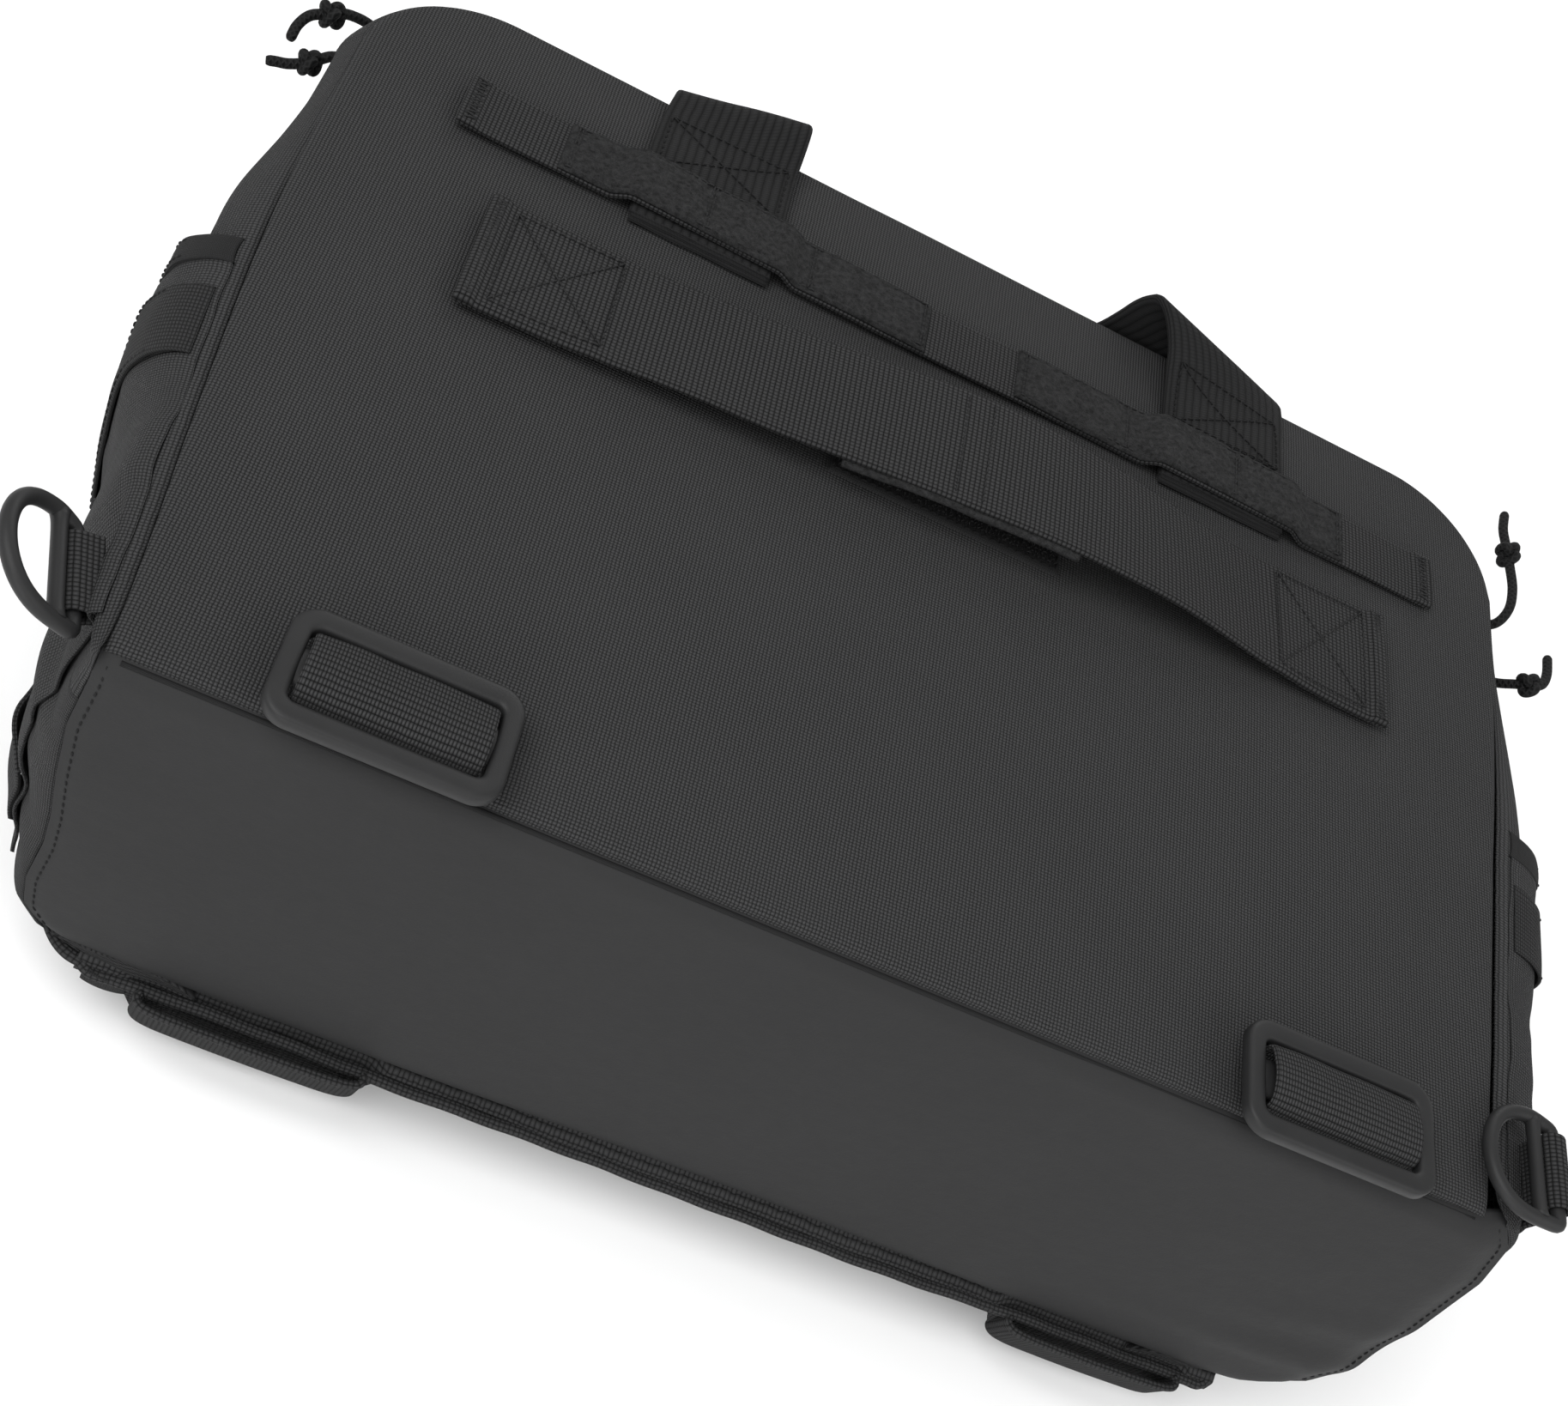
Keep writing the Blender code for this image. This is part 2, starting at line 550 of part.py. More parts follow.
def web_round_bar(name, bar, start, end, spin, turn):
    """25 mm webbing from the gusset, once round the ring's straight bar. start and end are measured from the bar."""
    r = RING_WIRE + 0.0003 + 0.0008
    line = [start]
    for k in range(9):
        a = math.radians(spin + 220 * (k / 8 - 0.5))
        line.append((r * math.cos(a), r * math.sin(a)))
    line.append(end)
    left, right = [], []
    for i, (x, z) in enumerate(line):
        a, b = line[max(0, i - 1)], line[min(len(line) - 1, i + 1)]
        tx, tz = b[0] - a[0], b[1] - a[1]
        d = math.hypot(tx, tz)
        nx, nz = -tz / d, tx / d
        left.append((x + nx * 0.0007, z + nz * 0.0007))
        right.append((x - nx * 0.0007, z - nz * 0.0007))
    c, t = Vector(bar), math.radians(turn)
    across, up = Vector((math.cos(t), math.sin(t), 0)), Vector((-math.sin(t), math.cos(t), 0))
    sheet = lambda side: [[c + across * x + up * y + Vector((0, 0, z)) for y in (-0.0120, 0.0120)] for x, z in side]
    grid_solid(name, sheet(left), sheet(right), "webbing")


web_round_bar("d_ring_web_left", RING_L, (0.0066, 0.0018), (0.0060, -0.0020), 180, RING_TURN)
web_round_bar("d_ring_web_right", RING_R, (0.0010, -0.0112), (-0.0025, -0.0110), 80, 0)

# ---- side pockets, their top bindings and webbing ------------------------------------------
def pocket_rise(y, z):
    u = smooth(0.052, 0.120, y)
    q = (z + 0.006) / -0.118
    return 0.0010 + 0.0120 * u * math.sin(math.pi * min(1.0, max(0.0, q))) ** 0.6


for side, sign in (("left", -1), ("right", 1)):
    side_patch("side_pocket_" + side, sign, 0.052, 0.1500, -0.0060, -0.1240, "woven",
               lambda y, z: pocket_rise(y, z), lambda y, z: pocket_rise(y, z) + 0.0020, ny=6, nz=10)
    side_patch("pocket_binding_" + side, sign, 0.1503, 0.1600, -0.0060, -0.1240, "binding",
               lambda y, z: pocket_rise(0.150, z), lambda y, z: pocket_rise(0.150, z) + 0.0030, ny=1, nz=10)
    side_patch("side_band_" + side, sign, 0.1110, 0.1380, -0.0060, -0.1240, "webbing",
               lambda y, z: pocket_rise(y, z) + 0.0023, lambda y, z: pocket_rise(y, z) + 0.0039, ny=2, nz=10)
    side_patch("side_lash_web_" + side, sign, 0.0120, 0.1100, -0.0820, -0.1070, "webbing",
               lambda y, z: pocket_rise(y, z) + 0.0023 + 0.004 * math.sin(math.pi * (y - 0.012) / 0.098) ** 2,
               lambda y, z: pocket_rise(y, z) + 0.0039 + 0.004 * math.sin(math.pi * (y - 0.012) / 0.098) ** 2,
               ny=8, nz=1)

# ---- zip sliders and their cord pulls -------------------------------------------------------
def slider(name, sign, angle, y, z, pivot):
    """A small domed block on the zip's teeth: on the corner's curve, or at height y on the straight side."""
    a = math.radians(angle)
    radial = Vector((sign * math.cos(a), math.sin(a), 0))
    along = Vector((-sign * math.sin(a), math.cos(a), 0))
    if y is None:
        foot = Vector((sign * CORNER_X, SIDE_TOP, z)) + radial * (CORNER_R + swell(0.28, z))
    else:
        foot = Vector((sign * (half_width(y) + swell(y, z)), y, z))
    secs = [(0.0005, 0.0060, 0.0046), (0.0022, 0.0060, 0.0046), (0.0036, 0.0045, 0.0034), (0.0046, 0.0024, 0.0014)]
    verts, faces = [], []
    shape = [(-1, -0.7), (-0.7, -1), (0.7, -0.75), (1, -0.5), (1, 0.5), (0.7, 0.75), (-0.7, 1), (-1, 0.7)]
    for h, l, w in secs:
        for u, v in shape:
            verts.append(foot + radial * h + along * (u * l) + Vector((0, 0, v * w)))
    for i in range(3):
        for k in range(8):
            j = (k + 1) % 8
            faces.append((i * 8 + k, i * 8 + j, (i + 1) * 8 + j, (i + 1) * 8 + k))
    faces.append(tuple(range(8)))
    faces.append(tuple(24 + k for k in range(8)))
    build(name, verts, faces, "slider", pivot)
    return foot + radial * (0.0046 + GAP + CORD_R)


def knot(name, centre, size, pivot):
    verts, faces = [], []
    rings, seg = 5, 8
    for i in range(1, rings):
        t = math.pi * i / rings
        for k in range(seg):
            a = 2 * math.pi * k / seg
            verts.append((centre[0] + size[0] * math.sin(t) * math.cos(a),
                          centre[1] + size[1] * math.cos(t),
                          centre[2] + size[2] * math.sin(t) * math.sin(a)))
    top = len(verts)
    verts.append((centre[0], centre[1] + size[1], centre[2]))
    verts.append((centre[0], centre[1] - size[1], centre[2]))
    for i in range(rings - 2):
        for k in range(seg):
            j = (k + 1) % seg
            faces.append((i * seg + k, i * seg + j, (i + 1) * seg + j, (i + 1) * seg + k))
    for k in range(seg):
        j = (k + 1) % seg
        faces.append((top, k, j))
        faces.append((top + 1, (rings - 2) * seg + k, (rings - 2) * seg + j))
    build(name, verts, faces, "cord", pivot)


# name, side, angle on the corner, height on the straight side, zip depth, route of the cord
# from slider to knot, knot centre and half size, route of the tail after the knot
PULLS = [
    ("right_upper", 1, 24, None, REAR_ZIP_Z,
     [(0.2265, 0.2700, -0.0240), (0.2315, 0.2640, -0.0160), (0.2350, 0.2690, -0.0110), (0.2362, 0.2790, -0.0090),
      (0.2350, 0.2900, -0.0080)], (0.2345, 0.2960, -0.0078), (0.0050, 0.0056, 0.0045),
     [(0.2335, 0.3020, -0.0076), (0.2325, 0.3080, -0.0070), (0.2330, 0.3160, -0.0060)]),
    ("right_lower", 1, 0, 0.2475, REAR_ZIP_Z,
     [(0.2300, 0.2440, -0.0260), (0.2350, 0.2395, -0.0200), (0.2385, 0.2375, -0.0155)],
     (0.2420, 0.2360, -0.0115), (0.0050, 0.0054, 0.0036),
     [(0.2476, 0.2385, -0.0110), (0.2505, 0.2450, -0.0108), (0.2515, 0.2540, -0.0106)]),
    ("left_upper", -1, 62, None, MAIN_ZIP_Z,
     [(-0.2010, 0.3000, -0.0600), (-0.2100, 0.3030, -0.0430), (-0.2200, 0.3010, -0.0300), (-0.2290, 0.2960, -0.0250)],
     (-0.2345, 0.2915, -0.0250), (0.0050, 0.0048, 0.0044),
     [(-0.2400, 0.2872, -0.0255), (-0.2425, 0.2820, -0.0275), (-0.2428, 0.2765, -0.0300)]),
    ("left_lower", -1, 30, None, MAIN_ZIP_Z,
     [(-0.2190, 0.2800, -0.0610), (-0.2235, 0.2830, -0.0450), (-0.2255, 0.2830, -0.0340), (-0.2290, 0.2800, -0.0315)],
     (-0.2345, 0.2745, -0.0335), (0.0045, 0.0046, 0.0042),
     [(-0.2400, 0.2713, -0.0350), (-0.2440, 0.2700, -0.0355), (-0.2470, 0.2690, -0.0360)]),
]
for tag, sign, angle, y, z, route, kc, ks, tail in PULLS:
    home = (sign * CORNER_X, SIDE_TOP, z) if y is None else (sign * half_width(y), y, z)
    centre = pivot_empty("slider_pivot_" + tag, home)
    eye = slider("zip_slider_" + tag, sign, angle, y, z, centre)
    swing = pivot_empty("pull_pivot_" + tag, tuple(eye), centre)
    tube("pull_cord_" + tag, catmull([tuple(eye)] + route, 4), CORD_R, 6, "cord", pivot=swing)
    knot("pull_knot_" + tag, kc, ks, swing)
    tube("pull_tail_" + tag, catmull(tail, 3), CORD_R, 6, "cord", pivot=swing)
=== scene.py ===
"""Looks for the soft tail bag: fabric shells, webbing, stitching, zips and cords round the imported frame."""
import math

import bmesh
import bpy
import numpy as np
from mathutils import Matrix, Vector


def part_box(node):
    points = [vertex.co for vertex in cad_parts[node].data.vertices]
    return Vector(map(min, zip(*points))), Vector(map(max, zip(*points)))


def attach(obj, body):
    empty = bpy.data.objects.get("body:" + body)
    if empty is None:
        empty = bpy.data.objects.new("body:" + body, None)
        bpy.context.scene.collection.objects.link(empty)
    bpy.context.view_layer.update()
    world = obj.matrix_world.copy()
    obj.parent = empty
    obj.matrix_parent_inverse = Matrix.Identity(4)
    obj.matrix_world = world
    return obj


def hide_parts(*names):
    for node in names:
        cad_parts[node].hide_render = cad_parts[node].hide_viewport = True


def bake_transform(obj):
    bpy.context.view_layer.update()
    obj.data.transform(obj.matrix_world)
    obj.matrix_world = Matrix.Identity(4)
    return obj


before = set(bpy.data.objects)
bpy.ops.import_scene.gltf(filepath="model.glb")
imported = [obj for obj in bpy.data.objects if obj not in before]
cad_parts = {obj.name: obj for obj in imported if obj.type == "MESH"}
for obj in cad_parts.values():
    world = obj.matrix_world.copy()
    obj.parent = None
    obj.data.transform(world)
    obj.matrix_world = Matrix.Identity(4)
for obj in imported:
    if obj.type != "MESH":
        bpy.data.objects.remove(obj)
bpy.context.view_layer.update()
_lo, _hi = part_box("back_panel")
# bag frame: x across the back panel, y up it from the base seam, z out of it
ORG = np.array([(_lo.x + _hi.x) / 2, _lo.y, _hi.z])
PI = math.pi
H, SIDE_R, DEPTH = 0.3010, 0.0440, 0.1430
ST = H - SIDE_R

# ------------------------------------------------------------------ camera and light
cam_data = bpy.data.cameras.new("camera")
cam = bpy.data.objects.new("camera", cam_data)
bpy.context.scene.collection.objects.link(cam)
cam_data.lens, cam_data.sensor_width = 48.0, 36.0
cam_data.clip_start, cam_data.clip_end = 0.01, 50
_r, _u, _v = Vector((0.88828, 0.15643, 0.43185)), Vector((-0.39148, 0.74959, 0.53372)), Vector((0.24022, 0.64315, -0.72708))
_c = Vector(ORG) + Vector((-0.17855, -0.30024, 0.42084))
_m = Matrix.Identity(4)
for _i in range(3):
    _m[_i][0], _m[_i][1], _m[_i][2], _m[_i][3] = _r[_i], _u[_i], -_v[_i], _c[_i]
cam.matrix_world = _m
bpy.context.scene.camera = cam


def area(name, place, target, size, power, size_y=None):
    d = bpy.data.lights.new(name, "AREA")
    d.energy, d.size = power, size
    if size_y:
        d.shape, d.size_y = "RECTANGLE", size_y
    o = bpy.data.objects.new(name, d)
    bpy.context.scene.collection.objects.link(o)
    o.location = place
    o.rotation_euler = (Vector(target) - Vector(place)).to_track_quat("-Z", "Y").to_euler()
    return o


area("key", (-0.9, -0.5, 1.7), (0, 0, 0.1), 1.4, 30)
area("fill", (1.2, -1.2, 1.1), (0, 0, 0.1), 1.6, 13)
area("low", (-0.5, -1.7, 0.5), (0, -0.1, 0.1), 1.2, 13)
area("rim", (0.3, 1.6, 1.2), (0, 0.1, 0.1), 1.2, 9)
world = bpy.data.worlds.new("studio")
bpy.context.scene.world = world
world.use_nodes = True
world.node_tree.nodes["Background"].inputs[0].default_value = (1, 1, 1, 1)
world.node_tree.nodes["Background"].inputs[1].default_value = 0.55
bpy.context.scene.view_settings.view_transform = "Standard"


# ------------------------------------------------------------------ materials
class Net:
    """Short hand for building a node tree."""

    def __init__(self, name):
        self.mat = bpy.data.materials.new(name)
        self.mat.use_nodes = True
        self.t = self.mat.node_tree
        self.bsdf = self.t.nodes["Principled BSDF"]

    def put(self, socket, value):
        if isinstance(value, bpy.types.NodeSocket):
            self.t.links.new(value, socket)
        elif isinstance(value, (tuple, list)) and len(value) == 3 and len(socket.default_value) == 4:
            socket.default_value = (*value, 1)
        else:
            socket.default_value = value

    def math(self, op, a, b=None, c=None, clamp=False):
        n = self.t.nodes.new("ShaderNodeMath")
        n.operation, n.use_clamp = op, clamp
        for k, v in enumerate((a, b, c)):
            if v is not None:
                self.put(n.inputs[k], v)
        return n.outputs[0]

    def uv(self):
        n = self.t.nodes.new("ShaderNodeUVMap")
        n.uv_map = "weave"
        s = self.t.nodes.new("ShaderNodeSeparateXYZ")
        self.put(s.inputs[0], n.outputs[0])
        return s.outputs[0], s.outputs[1], n.outputs[0]

    def place(self):
        return self.t.nodes.new("ShaderNodeTexCoord").outputs["Object"]

    def noise(self, vec, scale, detail=2.0, rough=0.5):
        n = self.t.nodes.new("ShaderNodeTexNoise")
        self.put(n.inputs["Vector"], vec)
        n.inputs["Scale"].default_value = scale
        n.inputs["Detail"].default_value = detail
        n.inputs["Roughness"].default_value = rough
        return n.outputs[0]

    def mixf(self, f, a, b):
        n = self.t.nodes.new("ShaderNodeMix")
        n.data_type = "FLOAT"
        self.put(n.inputs[0], f)
        self.put(n.inputs[2], a)
        self.put(n.inputs[3], b)
        return n.outputs[0]

    def ramp(self, f, stops):
        n = self.t.nodes.new("ShaderNodeValToRGB")
        self.put(n.inputs[0], f)
        r = n.color_ramp
        while len(r.elements) < len(stops):
            r.elements.new(0.5)
        for e, (p, c) in zip(r.elements, stops):
            e.position, e.color = p, (*c, 1)
        return n.outputs[0]

    def bump(self, height, distance, strength=1.0, normal=None):
        n = self.t.nodes.new("ShaderNodeBump")
        n.inputs["Strength"].default_value = strength
        n.inputs["Distance"].default_value = distance
        self.put(n.inputs["Height"], height)
        if normal is not None:
            self.put(n.inputs["Normal"], normal)
        return n.outputs[0]


def grey(v, tint=1.02):
    return (v * 0.995, v, v * tint)


def woven(name, v, pu, pv, depth, contrast=0.55, kind="plain", rough=0.85, spec=0.3, wander=0.10, fuzz=0.25, mottle=0.14):
    """Woven cloth from its UV in metres: pu and pv are the thread spacings."""
    n = Net(name)
    u, w, vec = n.uv()
    if wander:
        du = n.noise(vec, 260.0, 1.0)
        u = n.math("MULTIPLY_ADD", n.math("SUBTRACT", du, 0.5), pu * wander * 4, u)
        dv = n.noise(vec, 235.0, 1.0)
        w = n.math("MULTIPLY_ADD", n.math("SUBTRACT", dv, 0.5), pv * wander * 4, w)
    su = n.math("SINE", n.math("MULTIPLY", u, PI / pu))
    sv = n.math("SINE", n.math("MULTIPLY", w, PI / pv))
    au, av = n.math("ABSOLUTE", su), n.math("ABSOLUTE", sv)
    if kind == "plain":
        over = n.math("GREATER_THAN", n.math("MULTIPLY", su, sv), 0.0)
        warp = n.math("MULTIPLY", n.math("POWER", au, 0.55), n.math("MULTIPLY_ADD", av, 0.5, 0.5))
        weft = n.math("MULTIPLY", n.math("POWER", av, 0.55), n.math("MULTIPLY_ADD", au, 0.5, 0.5))
        h = n.mixf(over, weft, warp)
    elif kind == "grid":
        h = n.math("POWER", n.math("MULTIPLY", au, av), 0.62)
    elif kind == "ribs":       # ribs that run along u, fine cross threads
        fine = n.math("ABSOLUTE", n.math("SINE", n.math("MULTIPLY_ADD", u, PI / pu, n.math("MULTIPLY", w, PI / pv))))
        h = n.math("MULTIPLY", n.math("POWER", av, 0.6), n.math("MULTIPLY_ADD", fine, 0.3, 0.7))
    fine = n.noise(vec, 2600.0, 3.0, 0.65)
    big = n.noise(vec, 22.0, 4.0, 0.6)
    level = n.math("MULTIPLY_ADD", n.math("SUBTRACT", fine, 0.5), fuzz, h)
    level = n.math("MULTIPLY_ADD", n.math("SUBTRACT", big, 0.5), mottle, level)
    # colour follows the weave's height: the gaps between threads are painted shade and the thread crowns painted
    # highlight, with contrast setting how dark the painted shade gets; the noise on top is tone that differs at random
    gap_shade_colour, crown_light_colour = grey(v * (1 - contrast)), grey(v * 1.30)
    col = n.ramp(level, [(0.12, gap_shade_colour), (0.60, grey(v * 0.95)), (0.95, crown_light_colour)])
    n.put(n.bsdf.inputs["Base Color"], col)
    n.put(n.bsdf.inputs["Roughness"], n.math("MULTIPLY_ADD", fine, 0.16, rough - 0.08))
    n.bsdf.inputs["Specular IOR Level"].default_value = spec
    n.bsdf.inputs["Sheen Weight"].default_value = 0.02
    n.bsdf.inputs["Sheen Roughness"].default_value = 0.5
    hh = n.math("MULTIPLY_ADD", fine, 0.18, h)
    n.put(n.bsdf.inputs["Normal"], n.bump(hh, depth))
    return n.mat


def coated(name, v):
    n = Net(name)
    _, _, vec = n.uv()
    big = n.noise(vec, 14.0, 4.0, 0.55)
    mid = n.noise(vec, 160.0, 3.0, 0.6)
    fine = n.noise(vec, 1700.0, 3.0, 0.6)
    level = n.math("MULTIPLY_ADD", n.math("SUBTRACT", fine, 0.5), 0.5, n.math("MULTIPLY_ADD", n.math("SUBTRACT", mid, 0.5), 0.35, big))
    n.put(n.bsdf.inputs["Base Color"], n.ramp(level, [(0.2, grey(v * 0.90)), (0.5, grey(v)), (0.85, grey(v * 1.08))]))
    n.put(n.bsdf.inputs["Roughness"], n.math("MULTIPLY_ADD", mid, 0.14, 0.62))
    n.bsdf.inputs["Specular IOR Level"].default_value = 0.16
    a = n.bump(fine, 0.00010, 0.7)
    n.put(n.bsdf.inputs["Normal"], n.bump(mid, 0.00035, 0.45, a))
    return n.mat


def pile(name, v):
    """Brushed loop tape."""
    n = Net(name)
    p = n.place()
    clump = n.noise(p, 520.0, 3.0, 0.7)
    hair = n.noise(p, 3400.0, 4.0, 0.75)
    level = n.math("MULTIPLY_ADD", n.math("SUBTRACT", hair, 0.5), 0.9, clump)
    n.put(n.bsdf.inputs["Base Color"], n.ramp(level, [(0.25, grey(v * 0.25)), (0.5, grey(v)), (0.75, grey(v * 1.9))]))
    n.bsdf.inputs["Roughness"].default_value = 0.95
    n.bsdf.inputs["Specular IOR Level"].default_value = 0.08
    n.bsdf.inputs["Sheen Weight"].default_value = 0.03
    n.bsdf.inputs["Sheen Roughness"].default_value = 0.6
    a = n.bump(hair, 0.0006, 1.0)
    n.put(n.bsdf.inputs["Normal"], n.bump(clump, 0.0012, 0.8, a))
    return n.mat


def moulded(name, v, rough=0.46, spec=0.45, metallic=0.0):
    n = Net(name)
    p = n.place()
    fine = n.noise(p, 2400.0, 3.0, 0.55)
    big = n.noise(p, 90.0, 3.0, 0.5)
    level = n.math("MULTIPLY_ADD", n.math("SUBTRACT", fine, 0.5), 0.5, big)
    n.put(n.bsdf.inputs["Base Color"], n.ramp(level, [(0.25, grey(v * 0.92)), (0.5, grey(v)), (0.8, grey(v * 1.10))]))
    n.put(n.bsdf.inputs["Roughness"], n.math("MULTIPLY_ADD", big, 0.18, rough - 0.09))
    n.bsdf.inputs["Specular IOR Level"].default_value = spec
    n.bsdf.inputs["Metallic"].default_value = metallic
    n.put(n.bsdf.inputs["Normal"], n.bump(fine, 0.00007, 0.6))
    return n.mat


def braid(name, v, pitch=0.0021, around=0.0028):
    """Braided cord: UV runs along it and round it."""
    n = Net(name)
    u, w, vec = n.uv()
    a = n.math("SINE", n.math("MULTIPLY_ADD", u, PI / pitch, n.math("MULTIPLY", w, PI / around)))
    b = n.math("SINE", n.math("SUBTRACT", n.math("MULTIPLY", u, PI / pitch), n.math("MULTIPLY", w, PI / around)))
    h = n.math("MAXIMUM", n.math("ABSOLUTE", a), n.math("ABSOLUTE", b))
    h = n.math("POWER", h, 3.0)
    fine = n.noise(vec, 3000.0, 3.0, 0.6)
    # colour follows the braid's relief: the grooves between strands are painted shade and the strand crowns painted
    # highlight
    level = n.math("MULTIPLY_ADD", n.math("SUBTRACT", fine, 0.5), 0.5, h)
    n.put(n.bsdf.inputs["Base Color"], n.ramp(level, [(0.15, grey(v * 0.4)), (0.9, grey(v * 1.3))]))
    n.put(n.bsdf.inputs["Roughness"], n.math("MULTIPLY_ADD", fine, 0.2, 0.6))
    n.bsdf.inputs["Specular IOR Level"].default_value = 0.15
    n.put(n.bsdf.inputs["Normal"], n.bump(h, 0.0003, 1.0))
    return n.mat


def thread(name, v):
    n = Net(name)
    u, w, vec = n.uv()
    tw = n.math("ABSOLUTE", n.math("SINE", n.math("MULTIPLY_ADD", u, PI / 0.0005, n.math("MULTIPLY", w, PI / 0.0006))))
    fine = n.noise(vec, 5000.0, 2.0)
    # colour follows the twist: its grooves are painted shade, its crowns painted highlight
    n.put(n.bsdf.inputs["Base Color"], n.ramp(n.math("MULTIPLY_ADD", fine, 0.4, tw), [(0.1, grey(v * 0.5)), (1.0, grey(v * 1.2))]))
    n.bsdf.inputs["Roughness"].default_value = 0.7
    n.bsdf.inputs["Specular IOR Level"].default_value = 0.12
    n.put(n.bsdf.inputs["Normal"], n.bump(tw, 0.00012, 0.8))
    return n.mat


M = {
    "woven": woven("woven_nylon", 0.0385, 0.00110, 0.00105, 0.00080, contrast=0.93, spec=0.10),
    "coated": coated("coated_base", 0.0185),
    "strap": woven("strap_webbing", 0.0290, 0.00165, 0.00150, 0.00070, contrast=0.90, kind="grid", wander=0.04, spec=0.10),
    "narrow": woven("narrow_webbing", 0.0285, 0.00150, 0.00135, 0.00060, contrast=0.90, kind="grid", wander=0.04, spec=0.10),
    "slideweb": woven("slide_webbing", 0.0330, 0.00165, 0.00095, 0.00060, contrast=0.90, kind="grid", wander=0.05, spec=0.10),
    "handle": woven("handle_webbing", 0.0125, 0.00110, 0.00185, 0.00050, contrast=0.45, kind="ribs", wander=0.04, spec=0.09),
    "crossrib": woven("cross_ribbed_webbing", 0.0240, 0.00150, 0.00110, 0.00060, contrast=0.75, kind="grid", wander=0.04, spec=0.10),
    "coarse": woven("coarse_binding", 0.0260, 0.00165, 0.00140, 0.00080, contrast=0.88, kind="plain", wander=0.10, spec=0.10),
    "binding": woven("binding_tape", 0.0160, 0.00070, 0.00050, 0.00022, contrast=0.5, kind="plain", spec=0.10),
    "pile": pile("loop_pile", 0.0195),
    "plastic": moulded("moulded_plastic", 0.0170, rough=0.48, spec=0.20),
    "cord": braid("braided_cord", 0.0080),
    "thread": thread("sewing_thread", 0.0110),
    "softthread": thread("strap_thread", 0.0200),
    "ziptape": woven("zip_tape", 0.0150, 0.00060, 0.00050, 0.00018, contrast=0.45, kind="ribs", spec=0.10),
    "coil": moulded("zip_coil", 0.0120, rough=0.38, spec=0.25),
    "slider": moulded("zip_slider_paint", 0.0120, rough=0.36, spec=0.4, metallic=0.25),
    "foam": pile("foam_grain", 0.06),
    "board": moulded("stiff_board", 0.05, rough=0.6),
}


# ------------------------------------------------------------------ mesh helpers
def sm(a, b, t):
    t = np.clip((np.asarray(t, float) - a) / (b - a), 0, 1)
    return t * t * (3 - 2 * t)


_tab = np.random.RandomState(7).rand(16, 64, 64) * 2 - 1


def vn(x, y, scale, seed=0):
    """Smooth value noise, -1 to 1, with features about scale metres wide."""
    x, y = np.broadcast_arrays(np.asarray(x, float) / scale + 17.3 + seed * 3.1, np.asarray(y, float) / scale + 9.7 + seed * 5.7)
    i, j = np.floor(x).astype(int), np.floor(y).astype(int)
    fx, fy = x - i, y - j
    fx, fy = fx * fx * fx * (fx * (fx * 6 - 15) + 10), fy * fy * fy * (fy * (fy * 6 - 15) + 10)
    t = _tab[seed % 16]
    g = lambda a, b: t[a % 64, b % 64]
    return (g(i, j) * (1 - fx) + g(i + 1, j) * fx) * (1 - fy) + (g(i, j + 1) * (1 - fx) + g(i + 1, j + 1) * fx) * fy


def unit(v):
    v = np.asarray(v, float)
    return v / np.maximum(np.linalg.norm(v, axis=-1, keepdims=True), 1e-12)


